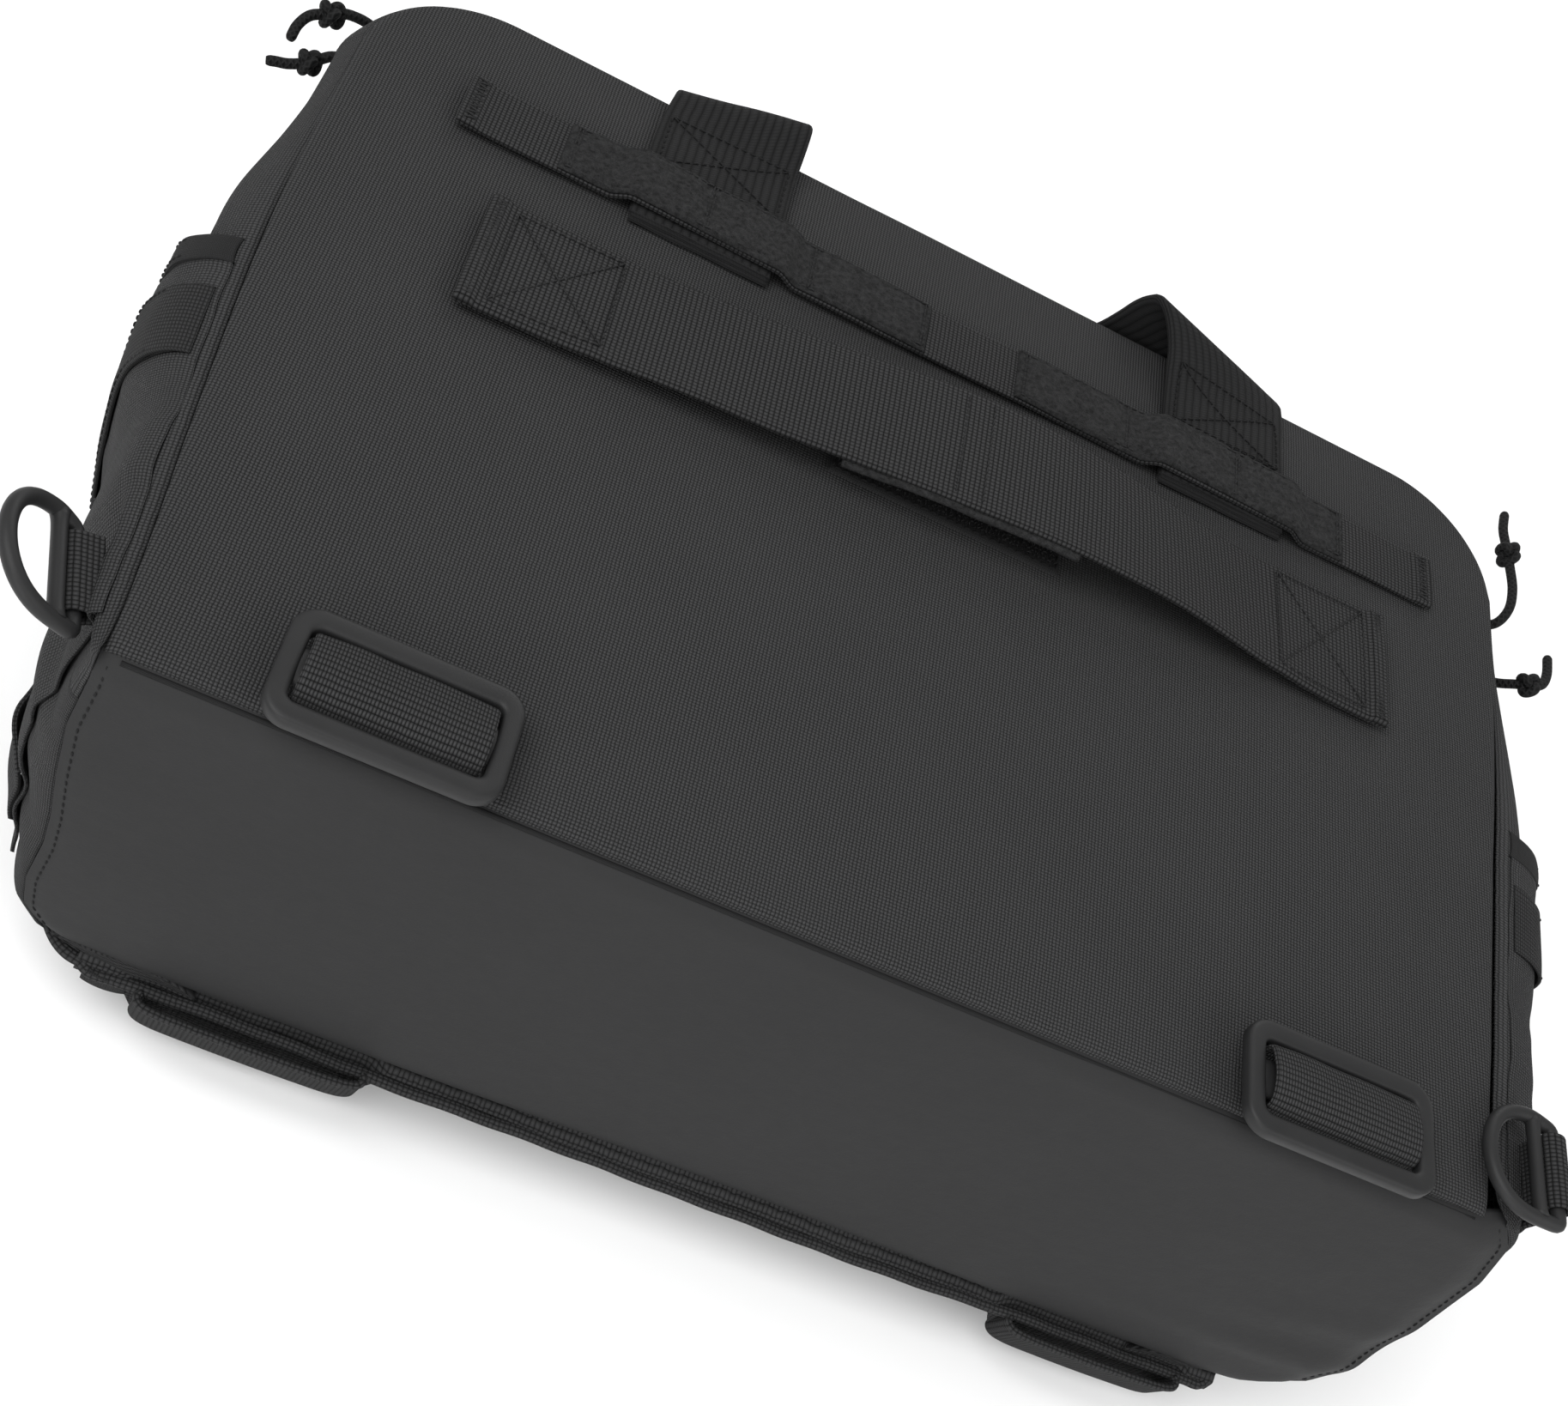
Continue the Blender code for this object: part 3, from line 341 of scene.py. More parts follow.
class Shell:
    """Collects grids of points with UV in metres and makes one mesh of them."""

    def __init__(self):
        self.v, self.quads, self.quv, self.tris, self.tuv, self.n = [], [], [], [], [], 0

    def grid(self, P, UV=None, wu=False, wv=False):
        n, m, _ = P.shape
        base = self.n
        self.v.append(P.reshape(-1, 3))
        self.n += n * m
        i, j = np.arange(n if wu else n - 1), np.arange(m if wv else m - 1)
        I, J = np.meshgrid(i, j, indexing="ij")
        I2, J2 = (I + 1) % n, (J + 1) % m
        self.quads.append(np.stack([I * m + J, I2 * m + J, I2 * m + J2, I * m + J2], -1).reshape(-1, 4) + base)
        if UV is None:
            UV = np.zeros((n + 1, m + 1, 2))
        self.quv.append(np.stack([UV[I, J], UV[I + 1, J], UV[I + 1, J + 1], UV[I, J + 1]], -2).reshape(-1, 4, 2))
        return base

    def fan(self, ids, ring, centre=None):
        """Closes a ring of points, whose vertex numbers are ids, with triangles to its middle."""
        ids, ring = np.asarray(ids), np.asarray(ring, float)
        centre = ring.mean(0) if centre is None else np.asarray(centre, float)
        self.v.append(centre.reshape(1, 3))
        c = self.n
        self.n += 1
        self.tris.append(np.stack([ids, np.roll(ids, -1), np.full(len(ids), c)], -1))
        a = unit(ring[1] - ring[0])
        b = unit(np.cross(np.cross(a, centre - ring[0]), a))
        p = np.stack([ring, np.roll(ring, -1, 0), np.tile(centre, (len(ring), 1))], 1) - ring[0]
        self.tuv.append(np.stack([p @ a, p @ b], -1))

    def make(self, name, mat, body="bag", nodes=(), slot=None, weld=2e-6, sharp=None, ride=True):
        v = np.concatenate(self.v) + ORG
        polys = [q for q in self.quads] + [t for t in self.tris]
        uvs = [q.reshape(-1, 2) for q in self.quv] + [t.reshape(-1, 2) for t in self.tuv]
        loops = np.concatenate([p.ravel() for p in polys]).astype(np.int32)
        sizes = np.concatenate([np.full(len(p), p.shape[1]) for p in polys]).astype(np.int32)
        me = bpy.data.meshes.new(name)
        me.vertices.add(len(v))
        me.vertices.foreach_set("co", v.astype(np.float32).ravel())
        me.loops.add(len(loops))
        me.loops.foreach_set("vertex_index", loops)
        me.polygons.add(len(sizes))
        me.polygons.foreach_set("loop_start", np.concatenate([[0], np.cumsum(sizes)[:-1]]).astype(np.int32))
        me.polygons.foreach_set("loop_total", sizes)
        me.uv_layers.new(name="weave")
        me.uv_layers["weave"].data.foreach_set("uv", np.concatenate(uvs).astype(np.float32).ravel())
        me.update()
        me.validate()
        bm = bmesh.new()
        bm.from_mesh(me)
        bmesh.ops.remove_doubles(bm, verts=bm.verts, dist=weld)
        bmesh.ops.dissolve_degenerate(bm, edges=bm.edges, dist=1e-7)
        bmesh.ops.recalc_face_normals(bm, faces=bm.faces)
        bm.to_mesh(me)
        bm.free()
        me.shade_smooth()
        if sharp:
            me.set_sharp_from_angle(angle=math.radians(sharp))
        o = bpy.data.objects.new(name, me)
        bpy.context.scene.collection.objects.link(o)
        me.materials.append(M[mat])
        if ride:
            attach(o, body)
        if nodes:
            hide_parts(*nodes)
        return o


def slab_section(w, t, nx=10, r=None):
    """A flat strap's closed cross section, rounded at both edges, as (across, through) points."""
    r = t / 2 if r is None else r
    out = []
    for k in range(nx + 1):
        out.append((-w / 2 + r + (w - 2 * r) * k / nx, t / 2))
    for k in range(1, 5):
        a = PI / 2 - PI * k / 5
        out.append((w / 2 - r + r * math.cos(a), t / 2 * math.sin(a)))
    for k in range(nx + 1):
        out.append((w / 2 - r - (w - 2 * r) * k / nx, -t / 2))
    for k in range(1, 5):
        a = -PI / 2 - PI * k / 5
        out.append((-w / 2 + r + r * math.cos(a), t / 2 * math.sin(a)))
    return np.array(out)


def round_section(r, k=12, ry=None):
    a = np.arange(k) * 2 * PI / k
    return np.stack([np.cos(a) * r, np.sin(a) * (ry or r)], -1)


def along(P):
    return np.concatenate([[0], np.cumsum(np.linalg.norm(np.diff(P, axis=0), axis=1))])


def resample(P, step=None, n=None):
    """Evenly spaced points on the line through P (any number of columns, the first three being the place)."""
    P = np.asarray(P, float)
    s = along(P[:, :3])
    n = n or max(2, int(round(s[-1] / step)) + 1)
    at = np.linspace(0, s[-1], n)
    return np.stack([np.interp(at, s, P[:, k]) for k in range(P.shape[1])], 1)


def spline(points, per=8):
    """Smooth curve through points of any dimension."""
    p = np.asarray(points, float)
    e = np.concatenate([[2 * p[0] - p[1]], p, [2 * p[-1] - p[-2]]])
    out = []
    for i in range(1, len(e) - 2):
        for k in range(per):
            t = k / per
            out.append(0.5 * ((2 * e[i]) + (e[i + 1] - e[i - 1]) * t + (2 * e[i - 1] - 5 * e[i] + 4 * e[i + 1] - e[i + 2]) * t * t
                              + (3 * e[i] - e[i - 1] - 3 * e[i + 1] + e[i + 2]) * t ** 3))
    out.append(p[-1])
    return np.array(out)


def tangents(P, closed=False):
    if closed:
        return unit(np.roll(P, -1, 0) - np.roll(P, 1, 0))
    T = np.empty_like(P)
    T[1:-1] = P[2:] - P[:-2]
    T[0], T[-1] = P[1] - P[0], P[-1] - P[-2]
    return unit(T)


def frames(P, up=(0, 0, 1), closed=False):
    """Across and through vectors that turn as little as they can along P."""
    T = tangents(P, closed)
    n = np.array(up, float)
    if abs(T[0] @ unit(n)) > 0.95:
        n = np.array((1.0, 0, 0))
    N = []
    for t in T:
        n = unit(n - t * (n @ t))
        N.append(n)
    N = np.array(N)
    if closed:      # spread the twist that is left over the whole ring
        miss = math.atan2(float(np.cross(N[-1], N[0]) @ T[0]), float(N[-1] @ N[0]))
        ang = miss * np.arange(len(P))[:, None] / len(P)
        B = np.cross(T, N)
        N = N * np.cos(ang) + B * np.sin(ang)
    return np.cross(T, N), N


def sweep(sh, P, A, N, sec, closed=False, cap=True, taper=None, u0=0.0, v0=0.0):
    """Adds a closed section swept along P; A is across and N through. sec is (k,2) or (n,k,2)."""
    P, A, N = np.asarray(P, float), np.asarray(A, float), np.asarray(N, float)
    n = len(P)
    if A.ndim == 1:
        A = np.tile(A, (n, 1))
    if N.ndim == 1:
        N = np.tile(N, (n, 1))
    S = np.asarray(sec, float)
    if S.ndim == 2:
        S = np.tile(S, (n, 1, 1))
    if taper is not None:
        S = S.copy()
        S[:, :, 1] *= np.asarray(taper)[:, None]
    G = P[:, None] + A[:, None] * S[:, :, :1] + N[:, None] * S[:, :, 1:2]
    s = along(np.concatenate([P, P[:1]]) if closed else P)
    ring = S[n // 2]
    w = np.concatenate([[0], np.cumsum(np.linalg.norm(np.diff(np.concatenate([ring, ring[:1]]), axis=0), axis=1))])
    UV = np.stack(np.meshgrid(s + u0, w + v0, indexing="ij"), -1)
    if not closed:
        UV = np.concatenate([UV, UV[-1:]])
    base = sh.grid(G, UV, wu=closed, wv=True)
    k = S.shape[1]
    if not closed and cap:
        sh.fan(base + np.arange(k), G[0])
        sh.fan(base + (n - 1) * k + np.arange(k), G[-1])
    return G


def stitches(sh, line, normal, pitch=0.0030, long=0.0023, r=0.00030, lift=0.00022, sink=0.00045):
    """A row of thread stitches on a line of surface points."""
    line = np.asarray(line, float)
    s = along(line)
    nn = np.asarray(normal, float)
    if nn.ndim == 1:
        nn = np.tile(nn, (len(line), 1))
    count = int(s[-1] // pitch)
    at = lambda q, arr: np.stack([np.interp(q, s, arr[:, k]) for k in range(3)], -1)
    for i in range(count):
        c = (i + 0.5) * s[-1] / max(count, 1)
        q = np.array([c - long / 2, c - long * 0.3, c, c + long * 0.3, c + long / 2])
        p, nm = at(q, line), unit(at(q, nn))
        h = np.array([-sink, lift * 0.6, lift, lift * 0.6, -sink])
        p = p + nm * h[:, None]
        T = tangents(p)
        A = unit(np.cross(T, nm))
        N2 = np.cross(A, T)
        sec = np.stack([round_section(r * f, 6) for f in (0.6, 1, 1.05, 1, 0.6)])
        sweep(sh, p, A, N2, sec)
    return sh


# ------------------------------------------------------------------ the bag's form
def half_width(y):
    return 0.2060 + 0.0145 * np.clip(np.sin(PI / 2 * np.clip(np.asarray(y, float) / 0.215, 0, 1)), 0, 1) ** 1.6


def hw(sign, y):
    """Half width of the back panel on one side: the filled bag leans a little to its left."""
    y = np.asarray(y, float)
    if sign < 0:
        d = np.interp(y, [0, 0.07, 0.14, 0.21, 0.26, 0.301], [0.0026, 0.0032, 0.0022, 0.0010, 0.0002, 0])
    else:
        d = np.interp(y, [0, 0.03, 0.06, 0.10, 0.135, 0.18, 0.23, 0.26, 0.301],
                      [-0.0062, -0.0054, -0.0048, -0.0053, -0.0056, -0.0044, -0.0027, -0.0018, -0.0010])
    return half_width(y) + d


def swell(y, z):
    q = np.clip(-np.asarray(z, float) / DEPTH, 0, 1)
    low = 1 - sm(0.130, 0.235, y)
    edge = np.clip((q - 0.84) / 0.16, 0, 1)
    return low * 0.010 * np.sin(PI * q ** 0.75) - (1 - low) * 0.020 * q ** 1.1 - 0.008 * edge ** 2


def plump(sign, y, z):
    """Fullness of the cloth beyond the plain form: a seam valley, a soft roll beside it and slack."""
    y, z = np.broadcast_arrays(np.asarray(y, float), np.asarray(z, float))
    low = 1 - sm(0.150, 0.235, y)
    d = np.clip(-z - 0.0020, 0, 1)
    full = np.sqrt(np.clip(1 - (1 - np.clip(d / 0.0130, 0, 1)) ** 2, 0, 1))
    roll = ((0.0046 if sign < 0 else 0.0100) * low + 0.0012) * full * (1 - 0.55 * sm(0.022, 0.060, d)) + (0.0 if sign < 0 else 0.0020) * full * (1 - sm(0.20, 0.25, y))
    valley = -0.0012 * np.exp(-(d / 0.0020) ** 2)
    away = sm(0, 0.02, -z) * (1 - sm(ST - 0.03, ST, y))
    slack = 0.0012 * vn(y, z, 0.055, 3 + (sign > 0)) * away + 0.0005 * vn(y, z, 0.018, 5 + (sign > 0)) * away
    gather = 0.0011 * np.sin(z / 0.0042 + 1.5 * vn(y, z, 0.03, 2)) * (1 - sm(0.0, 0.045, y)) * sm(0.004, 0.02, -z)
    if sign < 0:
        press = np.exp(-((y - 0.0234) / 0.026) ** 4) * sm(0.004, 0.009, -z) * (1 - sm(0.040, 0.056, -z))
        return (roll + slack + gather) * (1 - press) + valley - 0.0016 * press
    return roll + valley + slack + gather


BASE_Z = [0, 0.013, 0.034, 0.056, 0.077, 0.092, 0.112, 0.126, 0.136, 0.1425]
BASE_L = [0.2085, 0.2085, 0.2100, 0.2085, 0.2062, 0.2056, 0.2070, 0.2055, 0.1990, 0.1850]
BASE_R = [0.2035, 0.2150, 0.2226, 0.2262, 0.2284, 0.2300, 0.2314, 0.2290, 0.2200, 0.2030]


def base_half(sign, z):
    return np.interp(-np.asarray(z, float), BASE_Z, BASE_L if sign < 0 else BASE_R)


TUCK = 0.034        # below this height the side cloth turns under to the base


def shoulder(sign, z):
    """A soft roll of the gusset high on the left side."""
    return 0.0058 * np.exp(-((np.asarray(z, float) + 0.0135) / 0.0075) ** 2) if sign < 0 else 0.0015 * np.exp(-((np.asarray(z, float) + 0.0135) / 0.0075) ** 2)


def side_point(sign, t, z, lift=0.0):
    """A point of the side cloth. t is the way up from the base seam: a height in metres, with the turn at the bottom unrolled."""
    t, z = np.broadcast_arrays(np.asarray(t, float), np.asarray(z, float))
    a = np.clip(t / TUCK, 0, 1) * PI / 2
    y = np.where(t < TUCK, TUCK * (1 - np.cos(a)), t)
    full = hw(sign, y) + swell(y, z) + plump(sign, y, z) + (0.0 if sign < 0 else 0.0008) + shoulder(sign, z) * sm(0.13, 0.19, y)
    if sign > 0:
        full = full + 0.0030 * (1 - sm(0.04, 0.09, y)) * sm(0.003, 0.008, -z) * (1 - sm(0.016, 0.034, -z)) - 0.0078 * (1 - sm(0.0, 0.065, y)) * sm(0.014, 0.036, -z)
    edge = np.clip((-z / DEPTH - 0.86) / 0.14, 0, 1)
    xb = base_half(sign, z)
    x = np.where(t < TUCK, xb + (full - xb) * np.sin(a), full)
    slope = (hw(sign, y + 1e-4) - hw(sign, y - 1e-4)) / 2e-4
    nx, ny = np.where(t < TUCK, np.sin(a), 1.0), np.where(t < TUCK, -np.cos(a), -slope)
    d = np.hypot(nx, ny)
    nx, ny = nx / d, ny / d
    rim = (0.0040 if sign > 0 else 0.0008) * (1 - sm(0, TUCK * 0.7, t))
    return np.stack([sign * (x + nx * lift), y + ny * lift + 0.0006 + rim, z], -1), np.stack([sign * nx, ny, 0 * nx], -1)


def arch(t0, n_side=60, n_arc=22, n_top=60):
    """The gusset's line from the left side over the top to the right: t or place on the arc, for both sides."""
    out = []
    for sign in (-1, 1):
        cx = hw(sign, ST) - SIDE_R
        t = np.linspace(t0, ST, n_side + 1)
        a = np.linspace(0, PI / 2, n_arc + 1)[1:]
        top = np.linspace(cx, 0, n_top // 2 + 1)[1:]
        rows = [("s", sign, float(v)) for v in t] + [("a", sign, float(v)) for v in a] + [("t", sign, float(v)) for v in top]
        out.append(rows)
    return out[0] + out[1][-2::-1]


def arch_point(row, z, lift=0.0):
    kind, sign, v = row
    z = np.asarray(z, float)
    if kind == "s":
        p, n = side_point(sign, v, z, lift)
        return p
    cx = hw(sign, ST) - SIDE_R
    s = swell(0.28, z) + lift + plump(sign, 0.28, z) - 0.0010 * np.exp(-((z + 0.030) / 0.009) ** 2)
    if kind == "a":
        s = s + 0.0006 * vn(v * 0.05, z, 0.03, 9) + shoulder(sign, z) * max(math.cos(v), 0.0) ** 1.3
        return np.stack([sign * (cx + math.cos(v) * (SIDE_R + s)), ST + math.sin(v) * (SIDE_R + s) + 0 * s, z], -1)
    s = s + 0.0010 * vn(v * sign, z, 0.05, 11) + 0.0006 * (1 - (v / cx) ** 2)
    return np.stack([sign * v + 0 * s, H + s, z], -1)


def strip_shell(name, rows, zs, mat, thick=0.0022, lift=0.0, roll=0.0006, nodes=(), slot=None):
    """A band of cloth round the arch, with its cut edges turned in."""
    zs = np.asarray(zs, float)
    zl = np.concatenate([[zs[0] + roll], zs, [zs[-1] - roll]])
    lifts = np.concatenate([[-thick * 0.55], np.full(len(zs), 0.0), [-thick * 0.55]]) + lift
    outer = np.array([[arch_point(r, z, l) for z, l in zip(zl, lifts)] for r in rows])
    inner = np.array([[arch_point(r, z, lift - thick) for z in zs] for r in rows])
    sh = Shell()
    s = along(outer[:, len(zl) // 2])
    across = along(outer[len(rows) // 5])
    UV = np.stack(np.meshgrid(s, across, indexing="ij"), -1)
    sh.grid(outer, UV)
    UVi = np.stack(np.meshgrid(s, -zs, indexing="ij"), -1)
    sh.grid(inner[:, ::-1], UVi[:, ::-1])
    for a, b in ((outer[:, 0], inner[:, 0]), (outer[:, -1], inner[:, -1])):
        sh.grid(np.stack([a, b], 1), np.stack([np.stack([s, 0 * s], -1), np.stack([s, 0 * s + thick], -1)], 1))
    for e in (0, -1):
        ring = np.concatenate([outer[e], inner[e][::-1]])
        b = sh.n
        sh.v.append(ring)
        sh.n += len(ring)
        sh.fan(b + np.arange(len(ring)), ring)
    return sh.make(name, mat, nodes=nodes, slot=slot)


def thick_sheet(name, outer, inner, UV, mat, body="bag", nodes=(), slot=None):
    """A closed sheet between two grids that share their layout."""
    sh = Shell()
    n, m, _ = outer.shape
    sh.grid(outer, UV)
    sh.grid(inner[:, ::-1], UV[:, ::-1])
    for a, b, u in ((outer[:, 0], inner[:, 0], UV[:, 0]), (outer[:, -1], inner[:, -1], UV[:, -1]),
                    (outer[0], inner[0], UV[0]), (outer[-1], inner[-1], UV[-1])):
        sh.grid(np.stack([a, b], 1), np.stack([u, u + np.array([0.0, 0.001])], 1))
    return sh.make(name, mat, body=body, nodes=nodes, slot=slot)


# ---- back panel: one padded cloth whose edges roll down into the seams --------------------
def panel_edge(y):
    """x of the panel's left and right edge at height y."""
    y = np.asarray(y, float)
    k = np.clip(y - ST, 0, SIDE_R)
    arc = np.sqrt(np.clip(SIDE_R ** 2 - k ** 2, 0, None))
    l = np.where(y > ST, hw(-1, ST) - SIDE_R + arc, hw(-1, y))
    r = np.where(y > ST, hw(1, ST) - SIDE_R + arc, hw(1, y))
    return -l, r


def panel_z(x, y):
    """Height of the back panel's surface."""
    x, y = np.broadcast_arrays(np.asarray(x, float), np.asarray(y, float))
    l, r = panel_edge(y)
    d = np.minimum(x - l, r - x)
    for sign in (-1, 1):
        cx = hw(sign, ST) - SIDE_R
        inc = (y > ST) & (x * sign > cx)
        dc = SIDE_R - np.hypot(np.abs(x) - cx, y - ST)
        d = np.where(inc, dc, d)
    d = np.minimum(d, H - y)
    d = np.clip(d, 0, None)
    R = 0.0042
    k = np.clip(1 - d / R, 0, 1)
    side = -0.0034 * (1 - np.sqrt(np.clip(1 - k ** 2, 0, 1)))
    side = side - 0.0008 * (1 - sm(0, 0.022, d))
    kb = np.clip(1 - y / 0.0105, 0, 1)
    low = -0.0064 * (1 - np.sqrt(np.clip(1 - kb ** 2.0, 0, 1))) - 0.0008 * (1 - sm(0, 0.03, y))
    wave = 0.0007 * vn(x, y, 0.075, 1) + 0.0003 * vn(x, y, 0.03, 2)
    press = -0.0010 * np.exp(-(((x + 0.1395) / 0.036) ** 4)) * np.exp(-(((y - 0.012) / 0.020) ** 2)) \
        - 0.0010 * np.exp(-(((x - 0.1400) / 0.036) ** 4)) * np.exp(-(((y - 0.010) / 0.020) ** 2))
    return np.minimum(side, 0) + low + (wave - 0.0006) * sm(0, 0.02, d) * sm(0, 0.02, y) + press


EDGE_STEPS = np.array([0, 0.00025, 0.0007, 0.0014, 0.0024, 0.0037, 0.0054, 0.0076, 0.0105, 0.0145])
ys = np.concatenate([EDGE_STEPS, np.linspace(0.0145, ST, 86)[1:], ST + SIDE_R * np.sin(np.linspace(0, PI / 2, 27)[1:])])
rows = []
for y in ys:
    l, r = panel_edge(y)
    e = EDGE_STEPS
    inner_x = np.linspace(float(l) + e[-1], float(r) - e[-1], 131)
    rows.append(np.stack([np.concatenate([l + e[:-1], inner_x, (r - e[:-1])[::-1]]), np.full(131 + 2 * (len(e) - 1), y)], -1))
G = np.array(rows)
Z = panel_z(G[..., 0], G[..., 1])
outer = np.concatenate([G, Z[..., None]], -1)
outer[..., 1] += 0.0034 * (1 - sm(0, 0.0050, G[..., 1]))
inner = outer.copy()
inner[..., 2] = np.minimum(Z - 0.0003, -0.0030) - 0.0022
mid_c = outer.shape[1] // 2
run_y = along(outer[:, mid_c])
PUV = np.stack([G[..., 0], np.repeat((run_y - run_y[-1] + ys[-1])[:, None], G.shape[1], 1)], -1)
back = thick_sheet("back_panel_cloth", outer, inner, PUV, "woven", nodes=["back_panel"], slot="woven_nylon")


# ---- base: coated cloth, soft and a little full -------------------------------------------
def base_front(x):
    """Depth of the base's front edge."""
    return -DEPTH - 0.0012 * vn(x, 0.3, 0.09, 4) - 0.0018 * np.exp(-((np.asarray(x) + 0.17) / 0.03) ** 2)


def base_y(x, z):
    x, z = np.broadcast_arrays(np.asarray(x, float), np.asarray(z, float))
    y = -0.0010 * vn(x, z, 0.12, 6) - 0.0014 * np.sin(PI * np.clip(-z / DEPTH, 0, 1)) ** 0.8
    fold = np.exp(-((z + 0.108 - 0.10 * (x - 0.19)) / 0.0085) ** 2) * sm(0.10, 0.17, x)
    fold2 = np.exp(-((z + 0.083 - 0.35 * (x - 0.19)) / 0.010) ** 2) * sm(0.15, 0.20, x)
    fold3 = np.exp(-((x + 0.186 + 0.25 * (z + 0.06)) / 0.006) ** 2) * sm(-0.03, -0.06, -(-z)) * 0
    y = y - 0.0016 * fold - 0.0010 * fold2 + fold3
    dl = np.clip(base_half(-1, z) + x, 0, None)
    dr = np.clip(base_half(1, z) - x, 0, None)
    y = y + 0.0012 * (1 - sm(0, 0.006, dl)) + 0.0042 * (1 - sm(0, 0.016, dr)) ** 1.5
    seam = np.clip(1 - (-z - 0.0042) / 0.0062, 0, 1)
    y = y + 0.0044 * (1 - np.sqrt(np.clip(1 - seam ** 2, 0, 1)))
    df = np.clip((z + 0.1425) / 0.012, 0, 1)
    y = y + 0.0058 * (1 - np.sqrt(np.clip(1 - (1 - df) ** 2, 0, 1)))
    return y


v = np.concatenate([[0, 0.004, 0.010, 0.018, 0.028, 0.042, 0.06], np.linspace(0.08, 0.90, 42), [0.92, 0.94, 0.955, 0.968, 0.98, 0.99, 0.996, 1]])
u = np.concatenate([[0, 0.0006, 0.0016, 0.003, 0.005, 0.0075, 0.011, 0.016], np.linspace(0.022, 0.978, 120),
                    [0.984, 0.989, 0.9925, 0.995, 0.997, 0.9984, 0.9994, 1]])
P = np.zeros((len(u), len(v), 3))
for i, uu in enumerate(u):
    z = -0.0042 + v * (-DEPTH + 0.0042)
    xl, xr = -base_half(-1, z), base_half(1, z)
    x = xl + (xr - xl) * uu
    z = -0.0042 + v * (base_front(x) + 0.0042)
    P[i] = np.stack([x, base_y(x, -0.0042 + v * (-DEPTH + 0.0042)), z], -1)
Q = P.copy()
Q[..., 1] += 0.0016
base = thick_sheet("base_cloth", P, Q, np.stack([P[..., 0], -P[..., 2]], -1), "coated", nodes=["base_panel"], slot="coated_base")

# a thin dark cord along the seam between back panel and base: painted shade, a dark piece standing in for the shadow in
# the seam's groove
x = np.linspace(-0.2030, 0.1960, 220)
sh = Shell()
sweep(sh, np.stack([x, np.full(220, 0.0030), np.full(220, -0.0052)], -1), (0, 1, 0), (0, 0, 1), round_section(0.0008, 8, 0.0008))
sh.make("base_seam_cord", "thread", slot="binding")

# ---- gussets --------------------------------------------------------------------------------
zs_rear = -np.array([0.0024, 0.0028, 0.0034, 0.0042, 0.0052, 0.0066, 0.0084, 0.0106, 0.0132, 0.0160, 0.0190, 0.0218, 0.0243])
rows = arch(0.0)
strip_shell("rear_gusset_cloth", rows, zs_rear, "woven", nodes=["rear_gusset"], slot="woven_nylon")
up = [r for r in rows if not (r[0] == "s" and r[2] < 0.2215)]
strip_shell("middle_gusset_cloth", up, -np.linspace(0.0362, 0.0658, 14), "woven", nodes=["middle_gusset"], slot="woven_nylon")
strip_shell("front_gusset_cloth", up, -np.linspace(0.0782, DEPTH + 0.0012, 26), "woven", nodes=["front_gusset"], slot="woven_nylon")
for name, zc in (("rear_zip", -0.030), ("main_zip", -0.072)):
    strip_shell(name + "_cloth", up, zc + np.linspace(0.0066, -0.0066, 7), "ziptape", thick=0.0014, lift=-0.0009, roll=0.0,
                nodes=[name + "_tape"], slot="zip_tape")

for side, sign in (("left", -1), ("right", 1)):
    ts = np.concatenate([np.linspace(0, TUCK, 17), np.linspace(TUCK, 0.2222, 66)[1:]])
    zz = -np.concatenate([np.linspace(0.0236, 0.120, 44), np.linspace(0.120, DEPTH + 0.0010, 16)[1:]])
    T, Z = np.meshgrid(ts, zz, indexing="ij")
    outer, N = side_point(sign, T, Z)
    inner = outer - N * 0.0022
    thick_sheet("side_cloth_" + side, outer, inner, np.stack([T, -Z], -1), "woven", nodes=["side_panel_" + side], slot="woven_nylon")

# ---- front panel, its piping and the front pocket -------------------------------------------
def closed_sheet(name, rings_o, rings_i, mat, nodes=(), slot=None, body="bag"):
    """A lid or pouch: outer and inner stacks of closed rings that run from a rim to a middle point."""
    sh = Shell()
    bases = []
    for R in (rings_o, rings_i):
        n, m, _ = R.shape
        down = along(R[:, 0])
        ring = along(np.concatenate([R[0], R[0, :1]]))
        UV = np.stack([np.tile(R[:, :1, 0] * 0, (1, m + 1)), np.zeros((n, m + 1))], -1)
        flat = np.concatenate([R, R[:, :1]], 1)
        lie = np.abs(np.gradient(down)) > 0
        UV[..., 0] = np.where(lie[:, None], flat[..., 0], ring[None])
        UV[..., 1] = flat[..., 1] + 0 * down[:, None]
        b = sh.grid(R, UV, wv=True)
        sh.fan(b + (n - 1) * m + np.arange(m), R[-1])
        bases.append(b)
    rim = np.stack([rings_o[0], rings_i[0]], 0)
    ru = along(np.concatenate([rings_o[0], rings_o[0, :1]]))
    sh.grid(rim, np.stack([np.stack([ru, 0 * ru], -1), np.stack([ru, 0 * ru + 0.002], -1), np.stack([ru, 0 * ru + 0.002], -1)], 0), wv=True)
    return sh.make(name, mat, nodes=nodes, slot=slot, body=body)


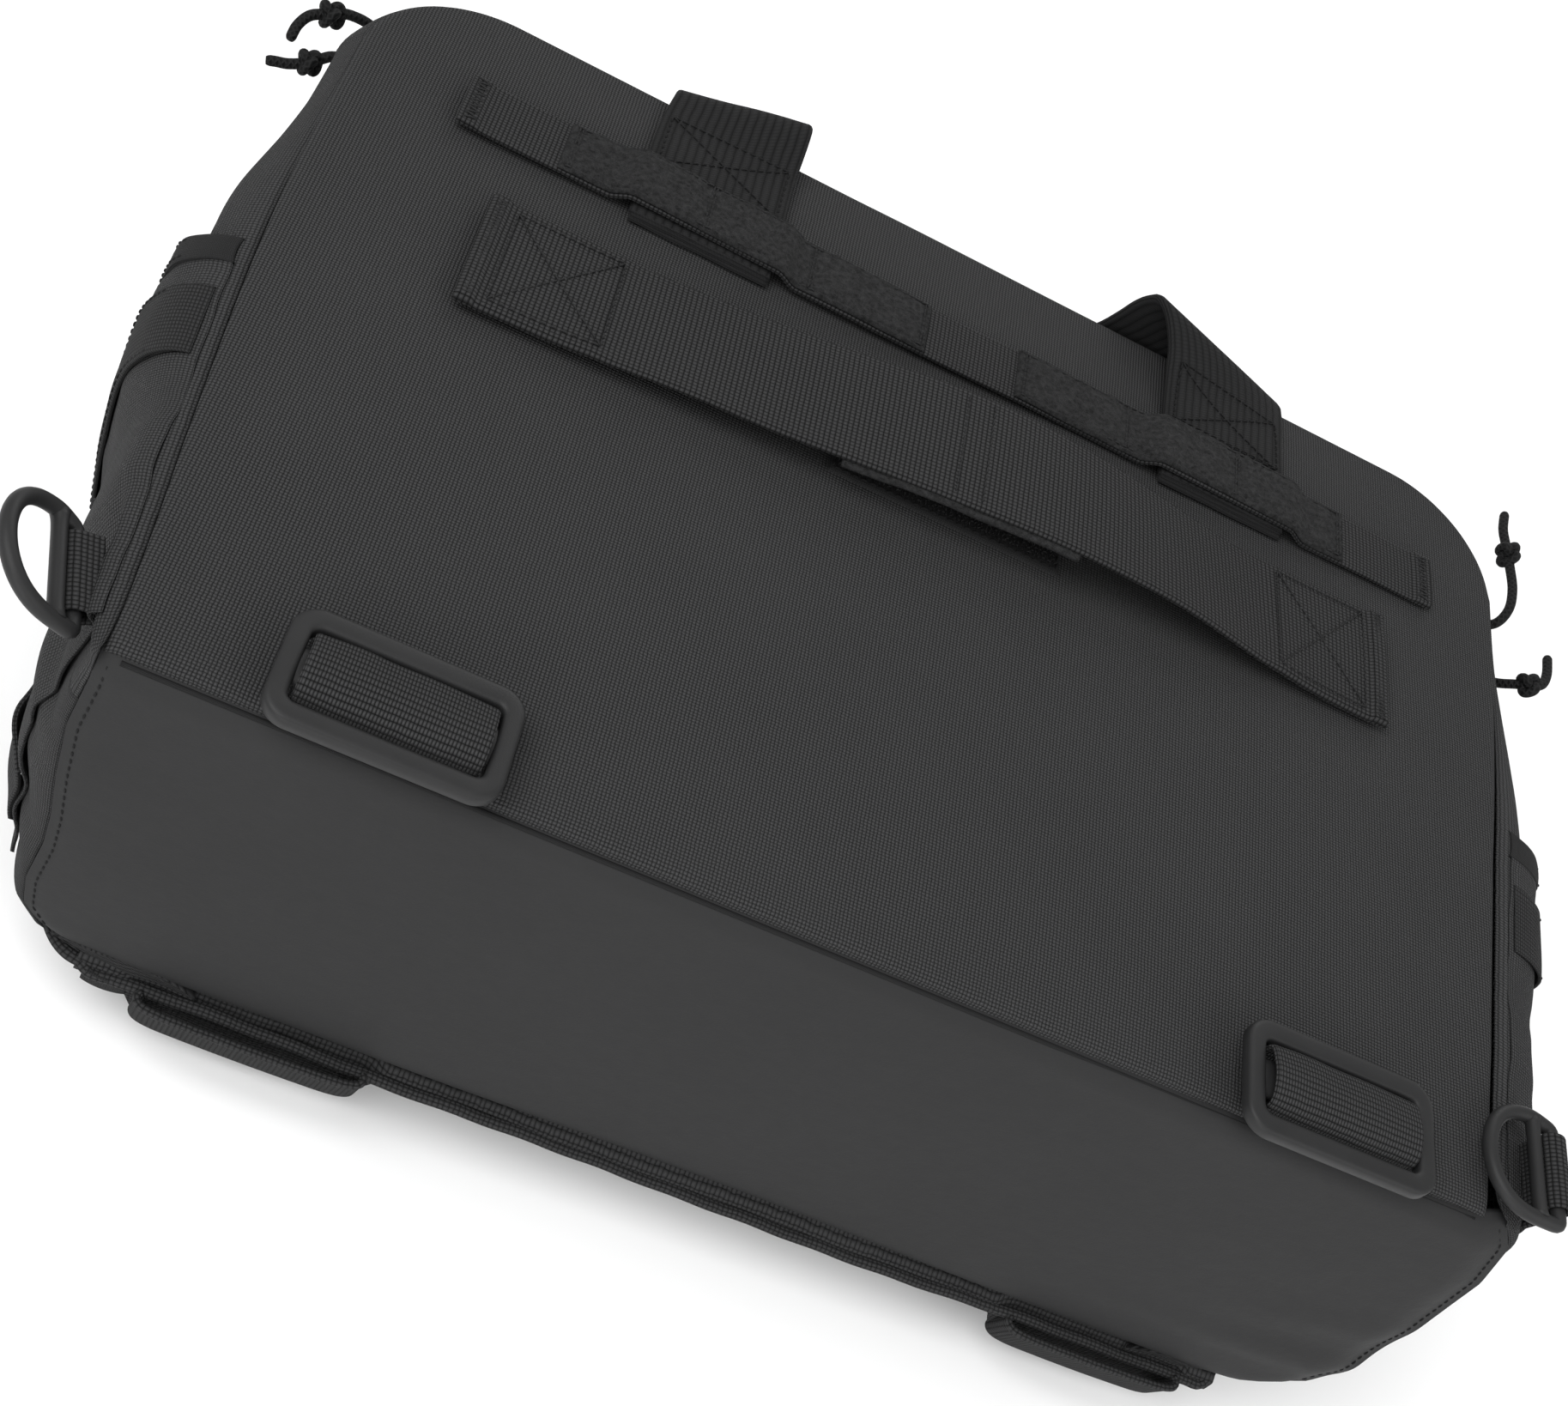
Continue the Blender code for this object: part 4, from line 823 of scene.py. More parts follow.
front_rows = arch(0.0, 44, 20, 52)
rim = np.array([arch_point(r, -DEPTH - 0.0010, -0.0012) for r in front_rows])
bottom = np.linspace(rim[-1, :2], rim[0, :2], 60)[1:-1]
bottom[:, 1] = 0.0030
rim = np.concatenate([rim[:, :2], bottom])
mid = np.array([0.0, 0.150])
fr = np.concatenate([[1, 0.997, 0.992, 0.985, 0.975, 0.96], np.linspace(0.93, 0.08, 26)])
ring_o, ring_i = [], []
for f in fr:
    q = mid + (rim - mid) * f
    z = -0.1440 - 0.0022 * (1 - (1 - sm(0, 1, (1 - f) / 0.03)) ** 2) - 0.0006 * vn(q[:, 0], q[:, 1], 0.05, 8) * sm(0, 0.05, 1 - f)
    ring_o.append(np.concatenate([q, z[:, None]], 1))
    ring_i.append(np.concatenate([q, np.full((len(q), 1), -0.1434)], 1))
closed_sheet("front_panel_cloth", np.array(ring_o), np.array(ring_i), "woven", nodes=["front_panel"], slot="woven_nylon")

pipe = [arch_point(r, -DEPTH - 0.0016, 0.0014) for r in arch(0.0, 60, 20, 52)]
low_l, low_r = pipe[0], pipe[-1]
xs = np.linspace(low_r[0] - 0.004, low_l[0] + 0.004, 90)
pipe = np.array(pipe + [np.array([x, -0.0020 - 0.0005 * vn(x, 0.1, 0.05, 3), -DEPTH - 0.0022 - 0.0006 * vn(x, 0.5, 0.04, 4)]) for x in xs])
pipe = resample(spline(np.concatenate([pipe, pipe[:1]]), 3), 0.0014)[:-1]
pipe[:, 2] += 0.0003 * np.sin(along(pipe) / 0.004)
A, N = frames(pipe, (0, 0, 1), closed=True)
sh = Shell()
sweep(sh, pipe, A, N, round_section(0.0019, 12), closed=True)
sh.make("front_piping_cord", "coarse", nodes=["front_piping"], slot="webbing")


def loop_near(x):
    """1 where a lash loop stands on the front bottom seam."""
    return np.maximum(sm(-0.173, -0.164, x) * (1 - sm(-0.099, -0.090, x)), sm(0.119, 0.128, x) * (1 - sm(0.187, 0.195, x)))


# seam tape under the base's front edge; it runs deeper where the lash loops are sewn in
x = np.linspace(-0.186, 0.203, 260)
v = np.linspace(0, 1, 18)
X, Vv = np.meshgrid(x, v, indexing="ij")
deep = 0.0060 + 0.0010 * vn(X, 0.2, 0.05, 7) + 0.0125 * loop_near(X)
Zt = -0.1395 - Vv * (deep + 0.0035)
Yt = 0.0042 - 0.0052 * sm(0.0, 0.45, Vv) + 0.0005 * vn(X, Vv * 0.02, 0.02, 6)
o_ = np.stack([X, Yt, Zt], -1)
i_ = o_.copy()
i_[..., 1] += 0.0022
thick_sheet("front_seam_tape", o_, i_, np.stack([X, -Zt], -1), "coarse", slot="binding")
# the gusset's end round each lower corner, closing the front panel to the base
for side, sign in (("left", -1), ("right", 1)):
    zc = np.array([-0.1375, -0.1400, -0.1425, -0.1450, -0.1475, -0.1492])
    rows_o, rows_i = [], []
    for zz_ in zc:
        t = np.linspace(0.060, 0.0, 22)
        p, n_ = side_point(sign, t, np.full(22, zz_), -0.0006)
        d = np.linspace(0.0, 0.034, 16)[1:]
        q = np.stack([sign * (base_half(sign, max(zz_, -0.1425)) - d), 0.0004 + 0.0003 * np.sin(d / 0.003) + (0.0038 if sign > 0 else 0.0006) * np.exp(-d / 0.009), np.full(15, zz_)], -1)
        p[:, 2] = zz_
        rows_o.append(np.concatenate([p, q]))
        up_ = np.concatenate([-n_, np.tile([0.0, 1.0, 0.0], (15, 1))])
        rows_i.append(rows_o[-1] + up_ * 0.0020)
    ro, ri = np.array(rows_o).transpose(1, 0, 2), np.array(rows_i).transpose(1, 0, 2)
    run = along(ro[:, 3])
    UVc = np.stack([np.repeat(run[:, None], len(zc), 1), -ro[..., 2]], -1)
    thick_sheet("corner_gusset_" + side, ro, ri, UVc, "coarse", slot="woven_nylon")
# short flat tab beside the left loop
x = np.linspace(-0.1830, -0.1700, 24)
q = np.stack([x, -0.0012 - 0.0010 * np.sin(PI * (x + 0.1830) / 0.013) ** 0.7, 0 * x - 0.1482], -1)
A_ = np.tile(unit((0, -0.15, 1.0)), (24, 1))
sh = Shell()
sweep(sh, q, A_, np.cross(tangents(q), A_), slab_section(0.0085, 0.0014, 8))
sh.make("front_seam_tab", "binding", slot="binding")


def round_rect(w, y0, y1, r, n_side, n_corner):
    out = []
    cs = [((w - r), (y1 - r), 0), (-(w - r), (y1 - r), 90), (-(w - r), (y0 + r), 180), ((w - r), (y0 + r), 270)]
    for i, (cx, cy, a0) in enumerate(cs):
        for k in range(n_corner + 1):
            a = math.radians(a0 + 90 * k / n_corner)
            out.append((cx + r * math.cos(a), cy + r * math.sin(a)))
        nx_, ny_, b0 = cs[(i + 1) % 4]
        p = np.array(out[-1])
        a = math.radians(b0)
        q = np.array((nx_ + r * math.cos(a), ny_ + r * math.sin(a)))
        out += [tuple(p + (q - p) * k / n_side) for k in range(1, n_side)]
    return np.array(out)


ring_o, ring_i = [], []
prof = [(0.0, 0.0), (0.0006, -0.0010)] + [(0.0010 + 0.0125 * (1 - math.cos(a)) , 0.0266 * math.sin(a)) for a in np.linspace(0.12, PI / 2, 15)]
for k, (ins, dep) in enumerate(prof):
    low = 1 + 1.4 * (dep / 0.0266)
    R = round_rect(0.1858 - ins, 0.0122 + ins * low, 0.2058 - ins * 0.9, 0.026, 40, 12)
    s = along(R)
    d = dep + 0 * s
    gather = 0.0009 * vn(s, dep, 0.018, 5) * math.sin(PI * min(1, max(0, dep) / 0.0266)) + 0.0014 * vn(s, dep, 0.07, 6) * math.sin(PI * min(1, max(0, dep) / 0.0266))
    c = np.array([0.0, 0.11])
    R = R + unit(R - c) * gather[:, None]
    ring_o.append(np.concatenate([R, (-0.1466 - np.clip(d, 0, None))[:, None]], 1))
last = ring_o[-1][:, :2]
c = last.mean(0)
for f in np.linspace(0.97, 0.06, 24):
    q = c + (last - c) * f
    z = -0.1732 - 0.0032 * sm(0, 0.35, 1 - f) + 0.0012 * vn(q[:, 0], q[:, 1], 0.06, 12) * sm(0, 0.2, 1 - f) - 0.0004
    ring_o.append(np.concatenate([q, np.maximum(z, -0.1764)[:, None]], 1))
ring_o = np.array(ring_o)
ring_i = ring_o.copy()
c3 = np.array([0, 0.11, -0.148])
ring_i[:, :, :2] = c3[:2] + (ring_o[:, :, :2] - c3[:2]) * 0.985
ring_i[2:, :, 2] = np.maximum(ring_o[2:, :, 2] + 0.0018, ring_o[2:, :, 2] * 0 - 0.1745)
closed_sheet("front_pocket_cloth", ring_o, ring_i, "woven", nodes=["front_pocket"], slot="woven_nylon")
ring = ring_o[4]
A, N = frames(ring, (0, 0, 1), closed=True)
sh = Shell()
sweep(sh, ring + unit(np.concatenate([ring[:, :2] - c, 0 * ring[:, :1]], 1)) * 0.0006, A, N, round_section(0.0016, 10), closed=True)
sh.make("front_pocket_piping", "coarse", slot="webbing")

# ---- stitches are gathered as rows and made at the end ------------------------------------------
SEW = Shell()


def webbing(name, P, A, N, width, thick, mat, body="bag", nodes=(), slot="webbing", nx=26, bow=None, widths=None, thicks=None, ride=True, make=True, sh=None):
    """Webbing swept along P. bow(u, across) raises the surface."""
    sec = slab_section(width, thick, nx)
    n = len(P)
    S = np.tile(sec, (n, 1, 1))
    if widths is not None:
        S[:, :, 0] *= (np.asarray(widths) / width)[:, None]
    if thicks is not None:
        S[:, :, 1] *= (np.asarray(thicks) / thick)[:, None]
    if bow is not None:
        u = along(P)
        S[:, :, 1] += bow(u[:, None], S[:, :, 0])
    sh = sh or Shell()
    sweep(sh, P, A, N, S)
    if not make:
        return sh
    return sh.make(name, mat, body=body, nodes=nodes, slot=slot, ride=ride)


# ---- the wide strap --------------------------------------------------------------------------
def wide_edges(x):
    yl = np.interp(x, [-0.165, 0.165], [0.1612, 0.1646])
    yu = np.interp(x, [-0.165, 0.165], [0.2094, 0.2154])
    zl = np.interp(x, WX, WL)
    zu = np.interp(x, WX, WU)
    return yl, yu, zl, zu


WX = np.linspace(-0.17, 0.17, 69)
_kx = [-0.17, -0.150, -0.128, -0.114, -0.090, -0.064, -0.045, -0.0115, 0.020, 0.045, 0.066, 0.085, 0.098, 0.113, 0.130, 0.151, 0.17]
_kl = [0.0030, 0.0032, 0.0042, 0.0062, 0.0082, 0.0093, 0.0110, 0.0142, 0.0160, 0.0168, 0.0160, 0.0135, 0.0108, 0.0074, 0.0048, 0.0036, 0.0034]
_ku = [0.0024, 0.0024, 0.0024, 0.0028, 0.0042, 0.0066, 0.0090, 0.0142, 0.0160, 0.0136, 0.0104, 0.0070, 0.0050, 0.0034, 0.0028, 0.0028, 0.0028]
_soft = np.exp(-np.linspace(-2, 2, 9) ** 2)
_soft /= _soft.sum()
WL = np.convolve(np.pad(np.interp(WX, _kx, _kl), 4, mode="edge"), _soft, "valid")
WU = np.convolve(np.pad(np.interp(WX, _kx, _ku), 4, mode="edge"), _soft, "valid")


def strap_frame(x, edges):
    yl, yu, zl, zu = edges(x)
    lo, hi = np.stack([x, yl, zl], -1), np.stack([x, yu, zu], -1)
    P = (lo + hi) / 2
    A = unit(hi - lo)
    T = tangents(P)
    N = unit(np.cross(A, T) * -1)
    N = N * np.sign(N[:, 2:3])
    return P, A, N


def end_rim(x, x0, x1, w=0.0068):
    """1 in the folded hem at both ends of a strap."""
    d = np.minimum(x - x0, x1 - x)
    return 1 - sm(w - 0.0016, w + 0.0004, d)


x = np.linspace(-0.1648, 0.1645, 300)
P, A, N = strap_frame(x, wide_edges)
hem = end_rim(x, x[0], x[-1])
first = sm(0, 0.0012, np.minimum(x - x[0], x[-1] - x))
two = np.where(np.abs(x) > 0.1180, 1.0, 0.0)
two = np.convolve(np.pad(two, 3, mode="edge"), np.ones(7) / 7, "valid")
P = P + N * (0.0006 * hem + 0.0005 * two)[:, None]
wide = webbing("wide_strap_web", P, A, N, 0.0500, 0.0019, "strap", nodes=["wide_strap"], nx=40,
               thicks=0.0019 * (1 + 0.55 * hem + 0.35 * two) * (0.55 + 0.45 * first),
               bow=lambda u, a: -0.0005 * (a / 0.025) ** 2 + 0.0003 * vn(u, a, 0.03, 3))


def strap_point(x, a, edges, up):
    """A point on a strap's face: a from -1 at its lower edge to 1 at its upper edge."""
    x, a = np.broadcast_arrays(np.asarray(x, float), np.asarray(a, float))
    yl, yu, zl, zu = edges(x)
    t = (a + 1) / 2
    return np.stack([x, yl + (yu - yl) * t, zl + (zu - zl) * t + up], -1)


SEW_STRAP = Shell()


def sew_path(points, lift, edges, pitch=0.0030, **kw):
    """Stitches along straight runs given as (x, a) pairs on a strap."""
    pts = np.array(points, float)
    fine = [pts[0]]
    for p, q in zip(pts[:-1], pts[1:]):
        k = max(2, int(abs(q[0] - p[0]) / 0.002) + 6)
        fine += [p + (q - p) * i / k for i in range(1, k + 1)]
    fine = np.array(fine)
    stitches(SEW_STRAP, strap_point(fine[:, 0], fine[:, 1], edges, lift - 0.00012), (0, 0, 1), pitch, **kw)


def box_x(x0, x1, a0, a1, lift, edges, pitch=0.0030):
    for run in (((x0, a0), (x1, a0)), ((x1, a0), (x1, a1)), ((x1, a1), (x0, a1)), ((x0, a1), (x0, a0)), ((x0, a0), (x1, a1)), ((x0, a1), (x1, a0))):
        sew_path(run, lift, edges, pitch)


def zigzag(x0, x1, a0, a1, lift, edges, n):
    pts = [(x0 if k % 2 == 0 else x1, a0 + (a1 - a0) * k / n) for k in range(n + 1)]
    for p, q in zip(pts[:-1], pts[1:]):
        L = strap_point(np.linspace(p[0], q[0], 5), np.linspace(p[1], q[1], 5), edges, lift)
        length = float(along(L)[-1])
        stitches(SEW_STRAP, L, (0, 0, 1), pitch=length * 0.99, long=length * 0.9)


for s in (-1, 1):
    e = -0.1648 if s < 0 else 0.1645
    box_x(e - s * 0.0092, s * 0.1200, -0.86, 0.86, 0.00185, wide_edges)
    zigzag(e - s * 0.0012, e - s * 0.0058, -0.94, 0.94, 0.00235, wide_edges, 34)
for xx in (-0.0045, 0.0045):
    sew_path(((xx, -0.9), (xx, 0.9)), 0.0011, wide_edges)

# loop pad sewn under the middle of the wide strap, showing past its lower edge
x = np.linspace(-0.0400, 0.0400, 90)
yl, yu, zl, zu = wide_edges(x)
lo = np.stack([x, yl - 0.0018, zl - 0.0024 - 0.0004 * vn(x, 0.0, 0.012, 2)], -1)
hi = np.stack([x, yl + 0.026, zl + (zu - zl) * 0.5 - 0.0024], -1)
P = (lo + hi) / 2
A = unit(hi - lo)
N = unit(np.cross(tangents(P), A))
N = N * np.sign(N[:, 2:3])
pad = webbing("strap_loop_pad", P, A, N, 0.0278, 0.0022, "pile", slot="loop_tape", nx=30)

# ---- hook patch on the panel: bristles on a hemmed tape -------------------------------------
def panel_at(x, y, up=0.0):
    x, y = np.broadcast_arrays(np.asarray(x, float), np.asarray(y, float))
    return np.stack([x, y, panel_z(x, y) + up], -1)


def panel_patch(name, x0, x1, y0, y1, thick, mat, nodes=(), slot=None, nx=60, ny=24, rough=0.0, seed=1):
    e = np.array([0, 0.0003, 0.0009])
    x = np.concatenate([x0 + e[:2], np.linspace(x0 + e[2], x1 - e[2], nx), (x1 - e[:2])[::-1]])
    y = np.concatenate([y0 + e[:2], np.linspace(y0 + e[2], y1 - e[2], ny), (y1 - e[:2])[::-1]])
    X, Y = np.meshgrid(x, y, indexing="ij")
    d = np.minimum(np.minimum(X - x0, x1 - X), np.minimum(Y - y0, y1 - Y))
    top = thick * np.sqrt(np.clip(1 - (1 - np.clip(d / 0.0009, 0, 1)) ** 2, 0.02, 1)) + rough * vn(X, Y, 0.0012, seed) * sm(0, 0.001, d)
    return thick_sheet(name, panel_at(X, Y, top), panel_at(X, Y, -0.0002), np.stack([X, Y], -1), mat, nodes=nodes, slot=slot)


panel_patch("hook_patch_tape", -0.0410, 0.0410, 0.1672, 0.1935, 0.0012, "binding", nodes=["strap_hook_patch"], slot="loop_tape")
sh = Shell()
rs = np.random.RandomState(4)
for gx in np.arange(-0.0385, 0.0386, 0.00145):
    for gy in np.arange(0.1702, 0.1905, 0.00145):
        x, y = gx + rs.uniform(-.0002, .0002), gy + rs.uniform(-.0002, .0002)
        b = panel_at(x, y, 0.0010)
        t = rs.uniform(0, 2 * PI)
        q = np.array([b, b + (0.0001 * math.cos(t), 0.0001 * math.sin(t), 0.0009), b + (0.0005 * math.cos(t), 0.0005 * math.sin(t), 0.0014),
                      b + (0.0009 * math.cos(t), 0.0009 * math.sin(t), 0.0011)])
        Aq, Nq = frames(q, (1, 0, 0))
        sweep(sh, q, Aq, Nq, round_section(0.00016, 4))
sh.make("hook_patch_bristles", "slider", slot="loop_tape")
sh = None


def sew_panel(pts, lift=0.0012, pitch=0.0030, **kw):
    fine = resample(np.array([(a, b, 0.0) for a, b in pts]), 0.0015)
    stitches(SEW, panel_at(fine[:, 0], fine[:, 1], lift), (0, 0, 1), pitch, **kw)


for run in (((-0.0396, 0.1686), (0.0396, 0.1686)), ((-0.0396, 0.1686), (-0.0396, 0.1920)), ((0.0396, 0.1686), (0.0396, 0.1920))):
    sew_panel(run, 0.0013)

# ---- thin strap and its loop tapes -------------------------------------------------------------
def thin_rise(x):
    base = 0.0022 + 0.0002 * np.sin(x / 0.011)
    for c in (-0.099, 0.099):
        d = np.abs(x - c)
        base = np.maximum(base, 0.0022 + 0.0034 * (1 - sm(0.0255, 0.034, d)))
    return base


def thin_edges(x):
    yc = np.interp(x, [-0.184, 0.186], [0.2480, 0.2446]) + 0.0003 * np.sin(np.asarray(x) / 0.03)
    z = thin_rise(x)
    return yc - 0.0118, yc + 0.0118, z, z


x = np.linspace(-0.1842, 0.1865, 330)
P, A, N = strap_frame(x, thin_edges)
hem = end_rim(x, x[0], x[-1], 0.0075)
P = P + N * (0.0004 * hem)[:, None]
webbing("thin_strap_web", P, A, N, 0.0240, 0.0016, "narrow", nodes=["thin_strap"], nx=24, thicks=0.0016 * (1 + 0.6 * hem),
        bow=lambda u, a: -0.0003 * (a / 0.012) ** 2)
zigzag(-0.1832, -0.1780, -0.9, 0.9, 0.00165, thin_edges, 14)
zigzag(0.1855, 0.1803, -0.9, 0.9, 0.00165, thin_edges, 14)

TACKS = {-1: (-0.1475, -0.101, -0.062, -0.0205), 1: (0.0185, 0.059, 0.101, 0.1455)}
for side, sign, x0, x1 in (("left", -1, -0.1500, -0.0180), ("right", 1, 0.0160, 0.1482)):
    x = np.linspace(x0, x1, 200)
    w = np.linspace(-1, 1, 44)
    X, W = np.meshgrid(x, w, indexing="ij")
    bulge = np.ones_like(x)
    for t in TACKS[sign]:
        bulge = np.minimum(bulge, sm(0.0006, 0.0060, np.abs(x - t)))
    edge = np.clip((1 - np.abs(W)) / 0.10, 0, 1)
    rnd = np.sqrt(np.clip(1 - (1 - edge) ** 2, 0.03, 1))
    ends = np.clip(np.minimum(X - x0, x1 - X) / 0.0010, 0, 1)
    rnd = rnd * np.sqrt(np.clip(1 - (1 - ends) ** 2, 0.03, 1))
    fuzz = 0.00024 * vn(X, W * 0.0118, 0.0022, 5) + 0.00018 * vn(X, W * 0.0118, 0.0011, 6)
    top = (0.0010 + 0.0009 * bulge[:, None] * (1 - (W * 0.9) ** 4)) * rnd + fuzz * rnd
    valley = -0.0005 * np.exp(-((np.abs(W) - 0.86) / 0.05) ** 2)
    yl, yu, z, _ = thin_edges(X)
    Y = (yl + yu) / 2 + W * 0.0118 + 0.0003 * np.sin(X / 0.013 + sign)
    zb = z + 0.0011
    outer = np.stack([X, Y, zb + top + valley * rnd], -1)
    inner = np.stack([X, Y, zb - 0.0001 + 0 * X], -1)
    thick_sheet("loop_tape_pile_" + side, outer, inner, np.stack([X, Y], -1), "pile", nodes=["loop_tape_" + side], slot="loop_tape")

    def tape_edges(x, z0=0.0021):
        yl, yu, z, _ = thin_edges(x)
        return yl, yu, z + z0, z + z0
    for t in TACKS[sign]:
        sew_path(((t, -0.86), (t, 0.86)), 0.0001, tape_edges, 0.0022, long=0.0019)
        sew_path(((t + 0.0011, -0.86), (t + 0.0011, 0.86)), 0.0001, tape_edges, 0.0022, long=0.0019)
    for aa in (-0.88, 0.88):
        sew_path(((x0 + 0.0015, aa), (x1 - 0.0015, aa)), 0.00005, tape_edges, 0.0028)

# ---- carry handles ---------------------------------------------------------------------------
def handle_ribbon(name, legs, grip, nodes, mat="handle"):
    """One long strap: up a leg, round the grip and down the other leg, folded narrow at the grip."""
    P = resample(spline(np.array(legs[0] + grip + legs[1][::-1]), 10), 0.0016)
    n = len(P)
    s = along(P[:, :3])
    s = s / s[-1]
    A, N, Wd, Th = P[:, 3:6], None, P[:, 6], P[:, 7]
    C = P[:, :3]
    T = tangents(C)
    A = unit(A)
    N = unit(np.cross(T, A))
    o = webbing(name, C, A, N, 0.05, 0.0032, mat, nodes=nodes, slot="handle_webbing", nx=34, widths=Wd, thicks=Th, ride=False,
                bow=lambda u, a: 0.0003 * vn(u, a, 0.02, 7))
    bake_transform(o)
    return C, A, N


def leg(points, a, w=0.050, t=0.0032):
    return [tuple(p) + tuple(a) + (w, t) for p in points]


X1 = (1.0, 0.0, 0.0)


def from_edges(pairs, t=0.0032):
    """Route points from pairs of edge points: one on each edge of the strap."""
    out = []
    for a, b in pairs:
        a, b = np.array(a), np.array(b)
        d = b - a
        out.append(tuple((a + b) / 2) + tuple(unit(d)) + (float(np.linalg.norm(d)), t))
    return out


left_leg = from_edges([((-.1243, .2335, .0021), (-.0742, .2335, .0021)), ((-.1243, .250, .0021), (-.0742, .250, .0021)), ((-.1243, .267, .0021), (-.0742, .267, .0021)),
                       ((-.1241, .280, .0021), (-.0743, .2800, .0024)), ((-.1236, .2885, .0023), (-.0745, .2880, .0046)), ((-.1230, .2940, .0030), (-.0749, .2945, .0092)),
                       ((-.1223, .2990, .0034), (-.0755, .2995, .0134)), ((-.1218, .3035, .0010), (-.0756, .3040, .0124)), ((-.1213, .3072, -.0030), (-.0753, .3078, .0066)),
                       ((-.1210, .3098, -.0095), (-.0749, .3102, -.0016)), ((-.1208, .3112, -.0190), (-.0745, .3112, -.0120)), ((-.1207, .3114, -.0290), (-.0742, .3114, -.0230))])
right_leg = from_edges([((.1240, .2335, .0021), (.0740, .2335, .0021)), ((.1240, .250, .0021), (.0740, .250, .0021)), ((.1240, .266, .0021), (.0738, .266, .0024)),
                        ((.1239, .279, .0021), (.0728, .279, .0048)), ((.1236, .2870, .0023), (.0702, .2890, .0100)), ((.1230, .2925, .0026), (.0650, .2955, .0160)),
                        ((.1222, .2965, .0024), (.0590, .2995, .0196)), ((.1208, .2998, -.0004), (.0564, .3022, .0160)), ((.1180, .3022, -.0060), (.0546, .3042, .0100)),
                        ((.1130, .3046, -.0140), (.0534, .3062, .0024)), ((.1050, .3072, -.0230), (.0516, .3084, -.0060)), ((.0950, .3096, -.0320), (.0480, .3102, -.0160))])
grip = []
for k in range(13):
    a = PI * k / 12
    cx, cz = -0.0180, -0.0330
    fold = float(sm(0.05, 0.75, math.sin(a)))
    grip.append((cx - 0.0790 * math.cos(a), 0.3114 - 0.0012 * math.sin(a), cz - 0.052 * math.sin(a), math.cos(a), 0.0, math.sin(a),
                 0.050 - 0.020 * fold, 0.0032 + 0.0034 * fold))
grip = grip[:-2]
C, A, N = handle_ribbon("back_handle_strap", (left_leg, right_leg), grip,
                        ["back_handle_end_left", "back_handle_end_right", "back_handle_loop"])

# handle ends show below the thin strap as folded layers; box-X stitching above it
def handle_at(line, s, a, up):
    """A point on the handle's visible face."""
    C, A, N = line
    q = along(C)
    at = lambda arr: np.stack([np.interp(s, q, arr[:, k]) for k in range(3)], -1)
    n = unit(at(N))
    n = n * np.where(n[..., 2:3] < 0, -1, 1)
    return at(C) + unit(at(A)) * np.asarray(a)[..., None] + n * up, n


def sew_handle(line, pts, up=0.0019, pitch=0.0030, sh=None):
    for (s0, a0), (s1, a1) in zip(pts[:-1], pts[1:]):
        k = 16
        L, n = handle_at(line, np.linspace(s0, s1, k), np.linspace(a0, a1, k), up)
        stitches(sh or SEW, L, n, pitch)


whole = float(along(C)[-1])
for flip in (False, True):
    g = (lambda s: whole - s) if flip else (lambda s: s)
    for s0, s1 in ((0.0285, 0.0530),):
        run = [(g(s0), -0.0215), (g(s1), -0.0215), (g(s1), 0.0215), (g(s0), 0.0215), (g(s0), -0.0215), (g(s1), 0.0215)]
        sew_handle((C, A, N), run)
        sew_handle((C, A, N), [(g(s0), 0.0215), (g(s1), -0.0215)])
        sew_handle((C, A, N), [(g(s0 + 0.001), -0.0225), (g(s0 + 0.001), 0.0225)])
for side, cx in (("left", -0.0992), ("right", 0.0990)):
    sh = Shell()
    for k, (y0, t) in enumerate(((0.2312, 0.0010), (0.2322, 0.0018), (0.2333, 0.0026))):
        x = np.linspace(cx - 0.0245 + 0.0003 * k, cx + 0.0245 - 0.0003 * k, 40)
        z = t + 0.0002 * vn(x, 0.1 * k, 0.012, k)
        P = np.stack([x, y0 + 0.0026 + 0.0002 * vn(x, 0.3 * k, 0.01, 4), z], -1)
        sweep(sh, P, (0, 1, 0), (0, 0, 1), slab_section(0.0052, 0.0011, 5))
    sh.make("handle_fold_" + side, "handle", slot="handle_webbing")

flegs = []
F0 = -0.1463
for s in (-1, 1):
    c = s * 0.099
    flegs.append(leg([(c, .2120, F0 - .0020), (c, .232, F0 - .0020), (c, .252, F0 - .0020), (c, .266, F0 - .0024), (c, .272, F0 - .0040),
                      (c, .281, F0 - .0064), (c, .296, F0 - .0106)], (float(-s), 0.0, 0.0)))
grip = []
for k in range(13):
    a = PI * k / 12
    s = 0.028 + 0.040 * math.sin(a)
    fold = float(sm(0.05, 0.75, math.sin(a)))
    ca = math.cos(math.radians(16.5))
    sa = math.sin(math.radians(16.5))
    d = s
    grip.append((-0.097 * math.cos(a), 0.2750 + d * ca, F0 - .0035 - d * sa)
                + (math.cos(a), -math.sin(a) * ca, math.sin(a) * sa) + (0.050 - 0.020 * fold, 0.0032 + 0.0030 * fold))
fl = [p[:3] + (1.0, 0.0, 0.0) + p[6:] for p in flegs[0]]
fr_ = [p[:3] + (-1.0, 0.0, 0.0) + p[6:] for p in flegs[1]]
C2, A2, N2 = handle_ribbon("front_handle_strap", (fl[:-1], fr_[:-1]), grip,
                           ["front_handle_end_left", "front_handle_end_right", "front_handle_loop"])

